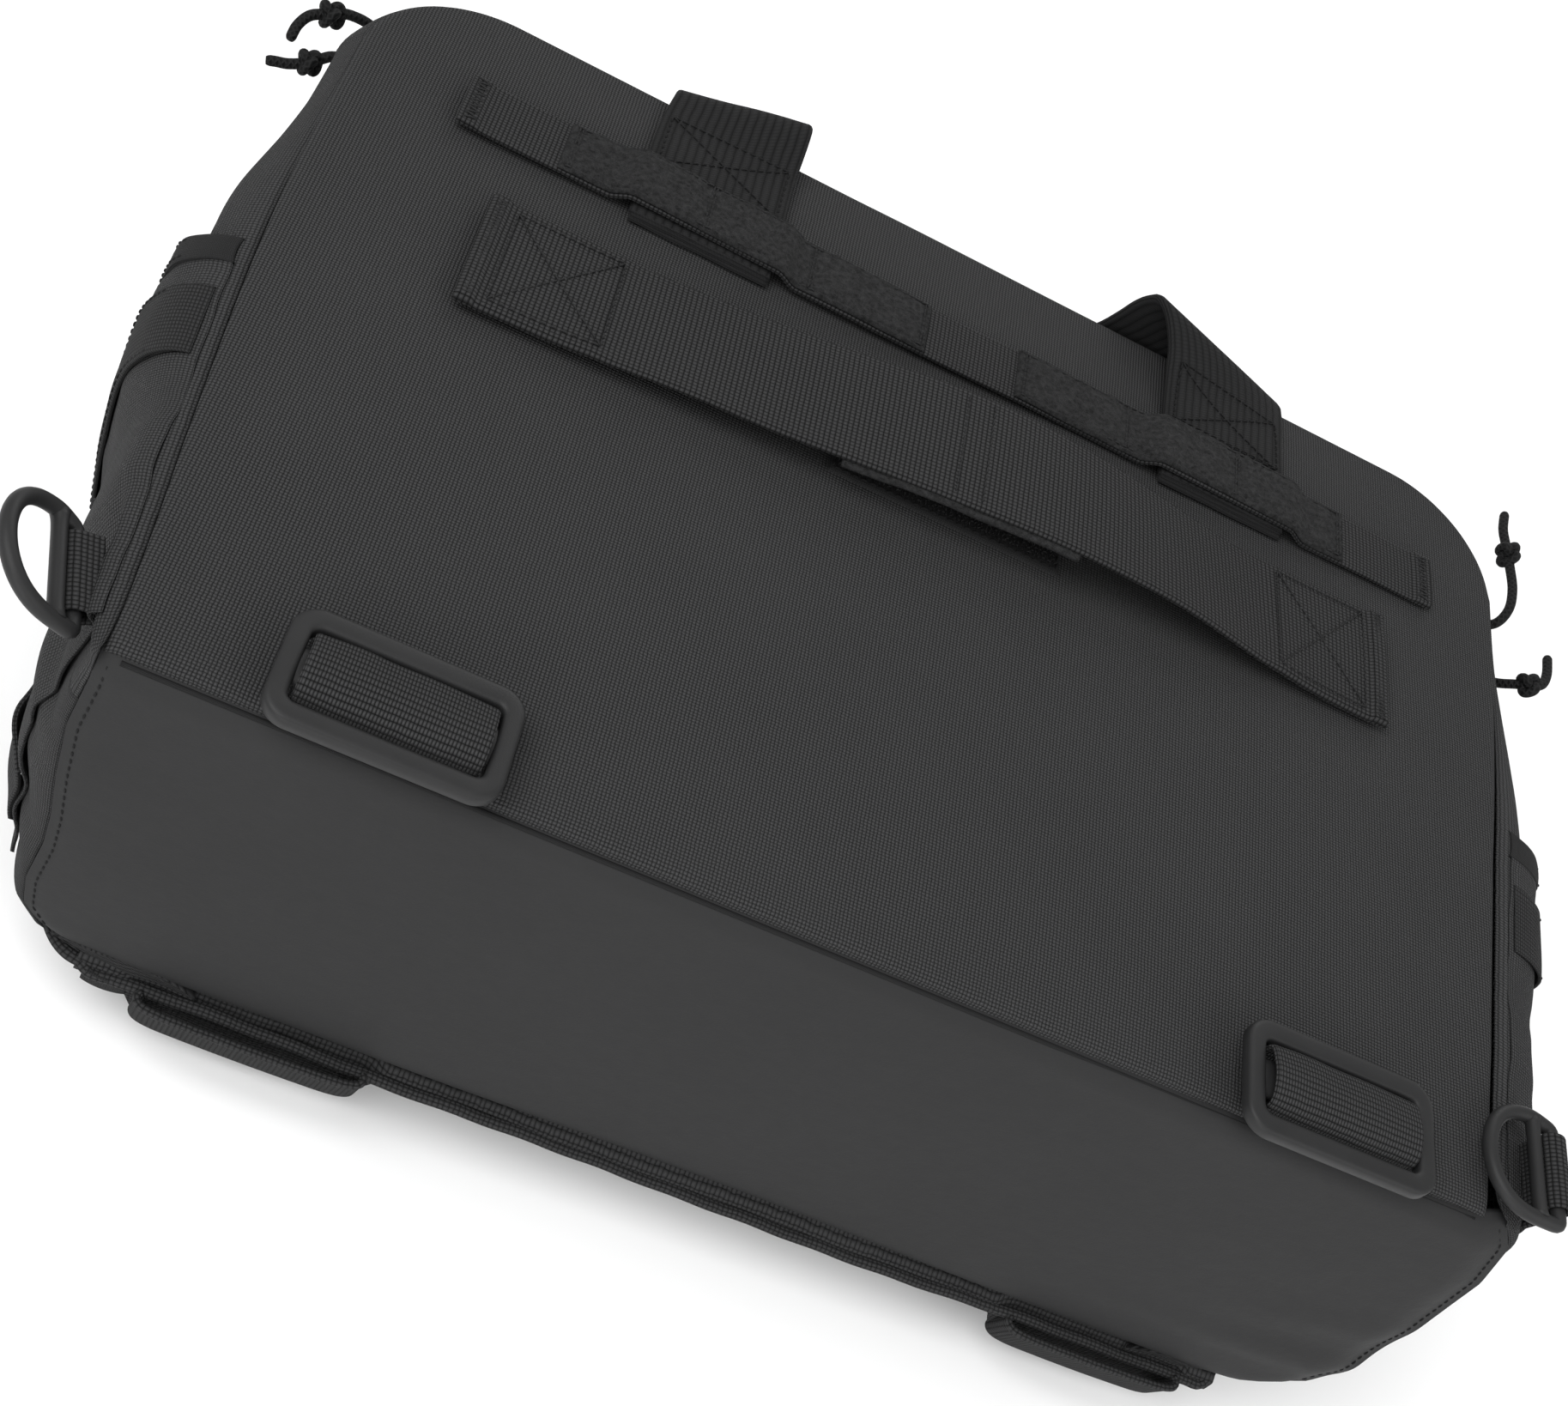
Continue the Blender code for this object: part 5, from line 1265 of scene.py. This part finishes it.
# ---- strap slides --------------------------------------------------------------------------------
for side, cx, y0, tilt in (("left", -0.1395, -0.0050, 0.0), ("right", 0.1400, -0.0070, 0.0)):
    x0, x1, y1 = cx - 0.0310, cx + 0.0310, y0 + 0.0360
    sh = Shell()
    lo, hi = 0.0055, 0.0101
    wx, wy = 0.0056, 0.0064
    prof = [(0.10, lo), (0.0, lo + 0.0007), (0.0, hi - 0.0011), (0.05, hi - 0.0004), (0.16, hi - 0.00005), (0.30, hi + 0.0001), (0.70, hi + 0.0001),
            (0.86, hi - 0.0001), (0.96, hi - 0.0005), (1.0, hi - 0.0012), (1.0, lo + 0.0007), (0.90, lo)]
    rings_ = []
    for f, zz_ in prof:
        ax_, bx_, ay_, by_ = x0 + wx * f, x1 - wx * f, y0 + wy * f, y1 - wy * f
        R = 0.0078 * (1 - f) + 0.0024 * f
        pts = []
        for gx, gy, a0 in ((bx_ - R, by_ - R, 0), (ax_ + R, by_ - R, 90), (ax_ + R, ay_ + R, 180), (bx_ - R, ay_ + R, 270)):
            for k in range(13):
                a = math.radians(a0 + 90 * k / 12)
                pts.append((gx + R * math.cos(a), gy + R * math.sin(a), zz_))
            if a0 in (0, 180):
                nx_ = ax_ + R if a0 == 0 else bx_ - R
                for k in range(1, 12):
                    pts.append((pts[-1][0] + (nx_ - pts[-1][0]) / (12 - k), pts[-1][1], zz_))
            else:
                ny_ = ay_ + R if a0 == 90 else by_ - R
                for k in range(1, 8):
                    pts.append((pts[-1][0], pts[-1][1] + (ny_ - pts[-1][1]) / (8 - k), zz_))
        rings_.append(pts)
    rings_ = np.array(rings_)
    s_ = along(np.concatenate([rings_[0], rings_[0, :1]]))
    UVr = np.stack(np.meshgrid(np.arange(len(prof) + 1) * 0.001, s_, indexing="ij"), -1)
    sh.grid(rings_, UVr, wu=True, wv=True)
    # the middle bar that the webbing turns round
    bx = np.linspace(x0 + 0.004, x1 - 0.004, 30)
    P = np.stack([bx, np.full(30, y0 + 0.0180), np.full(30, 0.0076)], -1)
    sweep(sh, P, (0, 1, 0), (0, 0, 1), round_section(0.0060, 18, 0.0019))
    sh.make("slide_frame_" + side, "plastic", body=side + "_slide", nodes=["strap_slide_" + side], slot="plastic")
    o = y0 + 0.005
    line = [(0.0030, 0.0018), (o + 0.0170, 0.0016), (o + 0.0205, 0.0020), (o + 0.0222, 0.0036), (o + 0.0229, 0.0062), (o + 0.0227, 0.0092),
            (o + 0.0214, 0.0112), (o + 0.0180, 0.0124), (o + 0.0130, 0.0131), (o + 0.0080, 0.0124), (o + 0.0050, 0.0110), (o + 0.0037, 0.0088),
            (o + 0.0034, 0.0060), (0.0032 if side == "left" else 0.0026, 0.0042)]
    q = resample(spline([(0.0, a, b) for a, b in line], 8), 0.0006)
    q[:, 0] = cx
    A, N = np.tile([1.0, 0, 0], (len(q), 1)), None
    T = tangents(q)
    N = np.cross(T, A)
    webbing("slide_webbing_" + side, q, A, N, 0.0488, 0.0015, "slideweb", body=side + "_slide", nodes=["slide_web_" + side], nx=44,
            bow=lambda u, a: -0.0004 * (a / 0.024) ** 4 + 0.0002 * vn(u, a, 0.01, 8))

# ---- D-rings and the webbing that holds them -----------------------------------------------------
def smooth_ring(p, step, reach=9):
    p = resample(np.concatenate([p, p[:1]]), step)[:-1]
    kern = np.exp(-np.linspace(-1.8, 1.8, reach) ** 2)
    kern /= kern.sum()
    h = reach // 2
    pp = np.concatenate([p[-h:], p, p[:h]])
    return np.stack([np.convolve(pp[:, k], kern, "valid") for k in range(3)], -1)


def ring_frame(turn, swing):
    a, s_ = math.radians(turn), math.radians(swing)
    bar = np.array((-math.sin(a), math.cos(a), 0.0))
    out = np.array((-math.cos(a), -math.sin(a), 0.0)) * math.cos(s_) + np.array((0, 0, math.sin(s_)))
    return bar, out


RINGS = (("left", (-0.2219, 0.0234, -0.0079), 19.0, 41.0, 0.0060, 0.0175), ("right", (0.2186, 0.0216, 0.0040), 0.0, 0.0, 0.0065, 0.0165))
for side, c, turn, swing, slot_w, reach in RINGS:
    bar, out = ring_frame(turn, swing)
    h = 0.0165
    pts = [np.array(c) + bar * (-h + 2 * h * k / 16) for k in range(16)]
    for k in range(41):
        a = PI * k / 40
        pts.append(np.array(c) + out * (slot_w + reach * math.sin(a) ** 0.75) + bar * (h * math.cos(a)))
    p = smooth_ring(np.array(pts), 0.0008)
    A, N = frames(p, tuple(np.cross(bar, out)), closed=True)
    sh = Shell()
    sweep(sh, p, A, N, round_section(0.00225, 20), closed=True)
    q = np.array([np.array(c) + out * slot_w + bar * (h * f) for f in np.linspace(-0.97, 0.97, 20)])
    flare = 1 + 0.35 * np.abs(np.linspace(-0.97, 0.97, 20)) ** 8
    sec = round_section(0.0020, 18, 0.00215)
    S = np.tile(sec, (20, 1, 1)) * flare[:, None, None]
    sweep(sh, q, out, np.cross(bar, out), S)
    sh.make("carry_ring_" + side, "plastic", body=side + "_ring", nodes=["d_ring_" + side], slot="plastic")


def ring_web(name, bar, start, end, spin, turn, nodes):
    r = 0.00225 + 0.0003 + 0.0008
    line = [start]
    for k in range(13):
        a = math.radians(spin + 220 * (k / 12 - 0.5))
        line.append((r * math.cos(a), r * math.sin(a)))
    line.append(end)
    t = math.radians(turn)
    ax, up_ = np.array((math.cos(t), math.sin(t), 0)), np.array((-math.sin(t), math.cos(t), 0))
    line = [tuple(np.array(bar) + ax * a + np.array((0, 0, b))) for a, b in line]
    q = resample(spline(line, 5), 0.0006)
    A = np.tile(up_, (len(q), 1))
    N = np.cross(tangents(q), A)
    return webbing(name, q, A, N, 0.0240, 0.0014, "narrow", nodes=nodes, nx=24)


ring_web("ring_webbing_left", RINGS[0][1], (0.0066, 0.0018), (0.0060, -0.0020), 180, 19.0, ["d_ring_web_left"])
ring_web("ring_webbing_right", RINGS[1][1], (-0.0008, -0.0150), (-0.0046, -0.0150), 80, 0.0, ["d_ring_web_right"])

# ---- lash loops at the front bottom edge ------------------------------------------------------------
for side, x0, x1 in (("left", -0.1660, -0.0970), ("right", 0.1260, 0.1890)):
    bow = [(x0 + 0.0030, 0.0036), (x0 + 0.0004, 0.0022), (x0 - 0.0004, 0.0000), (x0 + 0.0012, -0.0022), (x0 + 0.006, -0.0034), (x0 + 0.015, -0.0038),
           ((x0 + x1) / 2, -0.0040), (x1 - 0.015, -0.0038), (x1 - 0.006, -0.0034), (x1 - 0.0012, -0.0022), (x1 + 0.0004, 0.0000), (x1 - 0.0004, 0.0022),
           (x1 - 0.0030, 0.0036)]
    q = resample(spline([(a, -0.0030 + 0.88 * b, -0.1520) for a, b in bow], 8), 0.0007)
    A = np.tile(unit((0, -0.25, 1.0)), (len(q), 1))
    N = np.cross(tangents(q), A)
    webbing("lash_loop_" + side, q, A, N, 0.0150, 0.0018, "crossrib", nodes=["front_lash_loop_" + side], nx=20)
    sh = Shell()
    e = q[4:-4] + A[4:-4] * 0.0080
    Ae, Ne = frames(e, (0, 0, 1))
    sweep(sh, e, Ae, Ne, round_section(0.0013, 10))
    sh.make("lash_loop_edge_" + side, "coarse", slot="webbing")

# ---- side pockets, bands and lash webbing ------------------------------------------------------------
def t_of(y):
    """Way up the side cloth for a height y."""
    y = np.asarray(y, float)
    return np.where(y < TUCK, TUCK * np.arccos(np.clip(1 - y / TUCK, -1, 1)) / (PI / 2), y)


def rise(sign, y, z):
    """How far the side pocket stands off the side cloth."""
    q = np.clip((z + 0.0030) / -0.124, 0, 1)
    amp = 0.0062 * sm(0.086, 0.128, y) if sign < 0 else 0.0105 * sm(0.060, 0.120, y)
    return 0.0008 + amp * np.sin(PI * q) ** 0.6


def side_sheet(name, sign, ys_, zs_, lift_fn, thick, mat, nodes=(), slot="webbing", turn=0.0007):
    """A sheet over one side; its edges are rolled under."""
    ys2 = np.concatenate([[ys_[0]], ys_, [ys_[-1]]])
    zs2 = np.concatenate([[zs_[0]], zs_, [zs_[-1]]])
    Y, Z = np.meshgrid(ys2, zs2, indexing="ij")
    L = lift_fn(Y, Z)
    L = L.copy()
    L[0] -= thick * 0.6
    L[-1] -= thick * 0.6
    L[:, 0] -= thick * 0.6
    L[:, -1] -= thick * 0.6
    k = np.ones_like(L)
    Yo = Y.copy()
    Yo[1], Yo[-2] = Y[1] + turn * 0.6, Y[-2] - turn * 0.6
    Zo = Z.copy()
    Zo[:, 1], Zo[:, -2] = Z[:, 1] - turn * 0.6, Z[:, -2] + turn * 0.6
    drop = lambda y, z: y - 0.0085 * (1 - sm(0.0, 0.034, -z)) * sm(0.070, 0.110, y)
    outer, _ = side_point(sign, t_of(drop(Yo, Zo)), Zo, L)
    inner, _ = side_point(sign, t_of(drop(Y, Z)), Z, lift_fn(Y, Z) - thick)
    s = along(outer[:, outer.shape[1] // 2])
    w = along(outer[outer.shape[0] // 2])
    return thick_sheet(name, outer, inner, np.stack(np.meshgrid(s, w, indexing="ij"), -1), mat, nodes=nodes, slot=slot), (s, w)


for side, sign in (("left", -1), ("right", 1)):
    zs_ = np.concatenate([[-0.0027, -0.0032, -0.0039], np.linspace(-0.0048, -0.1238, 92)])
    fold = lambda y, z: 0.0010 * vn(y, z, 0.03, 3 + sign) * sm(0.06, 0.10, y) + 0.0007 * vn(y, z, 0.012, 4)
    side_sheet("side_pocket_cloth_" + side, sign, np.linspace(0.0130, 0.1495, 84), zs_,
               lambda y, z: np.maximum(rise(sign, y, z) + 0.0012 + fold(y, z), 0.0007), 0.0012, "woven", nodes=["side_pocket_" + side], slot="woven_nylon")
    side_sheet("pocket_binding_tape_" + side, sign, np.array([0.1488, 0.1492, 0.1499, 0.1510, 0.153, 0.155, 0.157, 0.1585, 0.1594, 0.1600]), zs_,
               lambda y, z: rise(sign, 0.150, z) + 0.0014 + 0.0014 * np.sqrt(np.clip(1 - ((y - 0.1545) / 0.0062) ** 2, 0, 1)), 0.0024, "binding",
               nodes=["pocket_binding_" + side], slot="binding")
    side_sheet("side_band_webbing_" + side, sign, np.linspace(0.1110, 0.1380, 26), zs_,
               lambda y, z: rise(sign, y, z) + 0.0034 + 0.0003 * vn(y, z, 0.02, 6), 0.0013, "crossrib", nodes=["side_band_" + side])
    yy = np.linspace(0.0135, 0.1098, 60)
    side_sheet("side_lash_webbing_" + side, sign, yy, np.linspace(-0.0822, -0.1068, 18),
               lambda y, z: rise(sign, y, z) + 0.0028 + 0.0030 * np.exp(-((y - 0.030) / 0.009) ** 2) + 0.0014 * np.exp(-((y - 0.085) / 0.012) ** 2), 0.0014, "narrow",
               nodes=["side_lash_web_" + side])
    for yc in (0.1510, 0.1579):
        z = np.linspace(-0.012, -0.122, 80)
        L, n = side_point(sign, t_of(yc - 0.0085 * (1 - sm(0.0, 0.034, -z))), z, rise(sign, 0.150, z) + 0.0025)
        stitches(SEW, L, n, 0.0030)
    for yc in (0.1126, 0.1364):
        z = np.linspace(-0.012, -0.122, 80)
        L, n = side_point(sign, t_of(yc - 0.0085 * (1 - sm(0.0, 0.034, -z))), z, rise(sign, yc, z) + 0.0034)
        stitches(SEW, L, n, 0.0030)
    for zc in (-0.1215,):
        y = np.linspace(0.040, 0.148, 70)
        L, n = side_point(sign, t_of(y), np.full(70, zc), rise(sign, y, zc) + 0.0013)
        stitches(SEW, L, n, 0.0030)

# ---- zips: coil teeth, sliders ---------------------------------------------------------------------------
for name, zc in (("rear_zip", -0.0300), ("main_zip", -0.0720)):
    rws = [r for r in arch(0.0, 120, 44, 120) if not (r[0] == "s" and r[2] < 0.2228)]
    L = np.array([arch_point(r, zc, -0.0011) for r in rws])
    U = np.array([arch_point(r, zc, -0.0001) for r in rws])
    s = along(L)
    Nn = unit(U - L)
    at = np.arange(0.002, s[-1] - 0.002, 0.00135)
    g = lambda arr: np.stack([np.interp(at, s, arr[:, k]) for k in range(3)], -1)
    c, n = g(L), unit(g(Nn))
    t = tangents(c)
    sh = Shell()
    zax = np.array([0, 0, 1.0])
    for i in range(len(at)):
        a = np.array([[-0.0019, -0.0002], [-0.0014, 0.0007], [0, 0.0010], [0.0014, 0.0007], [0.0019, -0.0002]])
        q = c[i] + zax * a[:, :1] + n[i] * a[:, 1:]
        sweep(sh, q, t[i], np.cross(tangents(q), t[i]), round_section(0.00045, 6))
    sh.make(name + "_coil", "coil", slot="zip_tape")

PULLS = [
    ("right_upper", 1, 24, None, -0.0300,
     [(0.2265, 0.2700, -0.0240), (0.2315, 0.2640, -0.0160), (0.2350, 0.2690, -0.0110), (0.2362, 0.2790, -0.0090),
      (0.2350, 0.2900, -0.0080)], (0.2345, 0.2960, -0.0078), (0.0050, 0.0056, 0.0045),
     [(0.2335, 0.3020, -0.0076), (0.2325, 0.3080, -0.0070), (0.2330, 0.3160, -0.0060)]),
    ("right_lower", 1, 0, 0.2475, -0.0300,
     [(0.2300, 0.2440, -0.0260), (0.2350, 0.2395, -0.0200), (0.2385, 0.2375, -0.0155)],
     (0.2420, 0.2360, -0.0115), (0.0050, 0.0054, 0.0036),
     [(0.2476, 0.2385, -0.0110), (0.2505, 0.2450, -0.0108), (0.2515, 0.2540, -0.0106)]),
    ("left_upper", -1, 62, None, -0.0720,
     [(-0.2010, 0.3000, -0.0600), (-0.2100, 0.3030, -0.0430), (-0.2200, 0.3010, -0.0300), (-0.2290, 0.2960, -0.0250)],
     (-0.2345, 0.2915, -0.0250), (0.0050, 0.0048, 0.0044),
     [(-0.2400, 0.2872, -0.0255), (-0.2425, 0.2820, -0.0275), (-0.2428, 0.2765, -0.0300)]),
    ("left_lower", -1, 30, None, -0.0720,
     [(-0.2190, 0.2800, -0.0610), (-0.2235, 0.2830, -0.0450), (-0.2255, 0.2830, -0.0340), (-0.2290, 0.2800, -0.0315)],
     (-0.2345, 0.2745, -0.0335), (0.0045, 0.0046, 0.0042),
     [(-0.2400, 0.2713, -0.0350), (-0.2440, 0.2700, -0.0355), (-0.2470, 0.2690, -0.0360)]),
]
CX = half_width(ST) - SIDE_R


def cad_swell(y, z):
    q = np.clip(-z / DEPTH, 0, 1)
    low = 1 - sm(0.130, 0.235, y)
    edge = max(0.0, (q - 0.84) / 0.16)
    return float(low * 0.010 * math.sin(PI * q ** 0.75) - (1 - low) * 0.020 * q ** 1.1 - 0.008 * edge ** 2)


for tag, sign, angle, y, z, route, kc, ks, tail in PULLS:
    a = math.radians(angle)
    radial = np.array((sign * math.cos(a), math.sin(a), 0.0))
    run = np.array((-sign * math.sin(a), math.cos(a), 0.0))
    if y is None:
        foot = np.array((sign * CX, ST, z)) + radial * (SIDE_R + cad_swell(0.28, z))
    else:
        foot = np.array((sign * (half_width(y) + cad_swell(y, z)), y, z))
    eye = foot + radial * (0.0046 + 0.0003 + 0.0018)
    zax = np.array((0, 0, 1.0))
    # slider: two stacked plates that narrow towards one end, a bridge over them and side flanges
    sh = Shell()
    ks_ = np.linspace(-0.0062, 0.0062, 22)
    half = 0.0046 - 0.0012 * np.exp(-(ks_ / 0.0022) ** 2) * 0 - 0.0014 * sm(0.0020, 0.0062, ks_)
    for h0, th in ((0.0014, 0.0011), (0.0034, 0.0011)):
        P = foot + run * ks_[:, None] + radial * h0
        sec = slab_section(0.0092, th, 8)
        S = np.tile(sec, (22, 1, 1))
        S[:, :, 0] *= (half / 0.0046)[:, None]
        endr = np.sqrt(np.clip(1 - np.abs(ks_ / 0.0064) ** 6, 0.05, 1))
        S[:, :, 1] *= endr[:, None]
        sweep(sh, P, zax, radial, S)
    for sgn in (-1, 1):
        P = foot + run * np.linspace(-0.0050, 0.0020, 10)[:, None] + radial * 0.0024 + zax * (sgn * 0.0040)
        sweep(sh, P, zax, radial, slab_section(0.0010, 0.0020, 3))
    br = np.array([[-0.0040, 0.0034], [-0.0042, 0.0046], [-0.0034, 0.0058], [-0.0010, 0.0064], [0.0020, 0.0062], [0.0034, 0.0052], [0.0036, 0.0036]])
    q = spline([tuple(foot + run * u_ + radial * h_) for u_, h_ in br], 6)
    Tq = tangents(q)
    sweep(sh, q, zax, np.cross(Tq, zax), slab_section(0.0022, 0.0010, 4))
    sh.make("slider_body_" + tag, "slider", body="slider_" + tag, nodes=["zip_slider_" + tag], slot="zip_slider")
    # cord: out of the slider's bridge, through the knot and on to the loose end
    pts = [tuple(eye)] + route + [kc] + tail
    P = resample(spline(pts, 10), 0.0007)
    A, N = frames(P, (0, 0, 1))
    sh = Shell()
    end = np.clip(np.minimum(np.arange(len(P)), np.arange(len(P))[::-1]) / 2.0, 0.0, 1)
    S = np.tile(round_section(0.0018, 14), (len(P), 1, 1)) * (0.72 + 0.28 * np.sqrt(end))[:, None, None]
    sweep(sh, P, A, N, S)
    cord = sh.make("pull_cord_line_" + tag, "cord", body="pull_" + tag, nodes=["pull_cord_" + tag, "pull_tail_" + tag], slot="pull_cord")
    # overhand knot
    t = np.linspace(0, 2 * PI, 121)[:-1]
    K = np.stack([np.sin(t) + 2 * np.sin(2 * t), np.cos(t) - 2 * np.cos(2 * t), -np.sin(3 * t)], -1)
    K = K / np.array([2.9, 2.9, 1.0]) * (np.array(ks) - 0.0017)
    K = np.array(kc) + K
    A, N = frames(K, (0, 0, 1), closed=True)
    sh = Shell()
    sweep(sh, K, A, N, round_section(0.00168, 12), closed=True)
    knot = sh.make("pull_knot_tie_" + tag, "cord", body="pull_" + tag, nodes=["pull_knot_" + tag], slot="pull_cord")

# ---- seams: stitch rows along the base's side seams, then all gathered stitches are made --------------------
z = -np.concatenate([[0.006], np.linspace(0.012, 0.134, 60)])
for sign in (-1, 1):
    xx = sign * (base_half(sign, z) - 0.0030)
    L = np.stack([xx, base_y(xx, z), z], -1)
    stitches(SEW, L, (0, -1, 0), 0.0034)
SEW.make("seam_thread", "thread", slot="binding")
SEW_STRAP.make("strap_thread", "softthread", slot="binding")

# ---- kept parts: better finishes inside ---------------------------------------------------------------------
for node, key in (("back_foam", "foam"), ("laptop_divider", "foam"), ("base_board", "board")):
    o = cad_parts[node]
    o = bpy.data.objects[o] if isinstance(o, str) else o
    for k in range(max(1, len(o.material_slots))):
        if o.material_slots:
            o.material_slots[k].material = M[key]
        else:
            o.data.materials.append(M[key])

# ---- floor -----------------------------------------------------------------------------------------------------
bm = bmesh.new()
bmesh.ops.create_grid(bm, x_segments=2, y_segments=2, size=6.0)
me = bpy.data.meshes.new("floor")
bm.to_mesh(me)
bm.free()
floor = bpy.data.objects.new("floor", me)
bpy.context.scene.collection.objects.link(floor)
floor.location = (0, 0, -0.0004)
fm = Net("floor_paper")
fm.bsdf.inputs["Base Color"].default_value = (0.90, 0.90, 0.90, 1)
fm.bsdf.inputs["Roughness"].default_value = 0.7
me.materials.append(fm.mat)

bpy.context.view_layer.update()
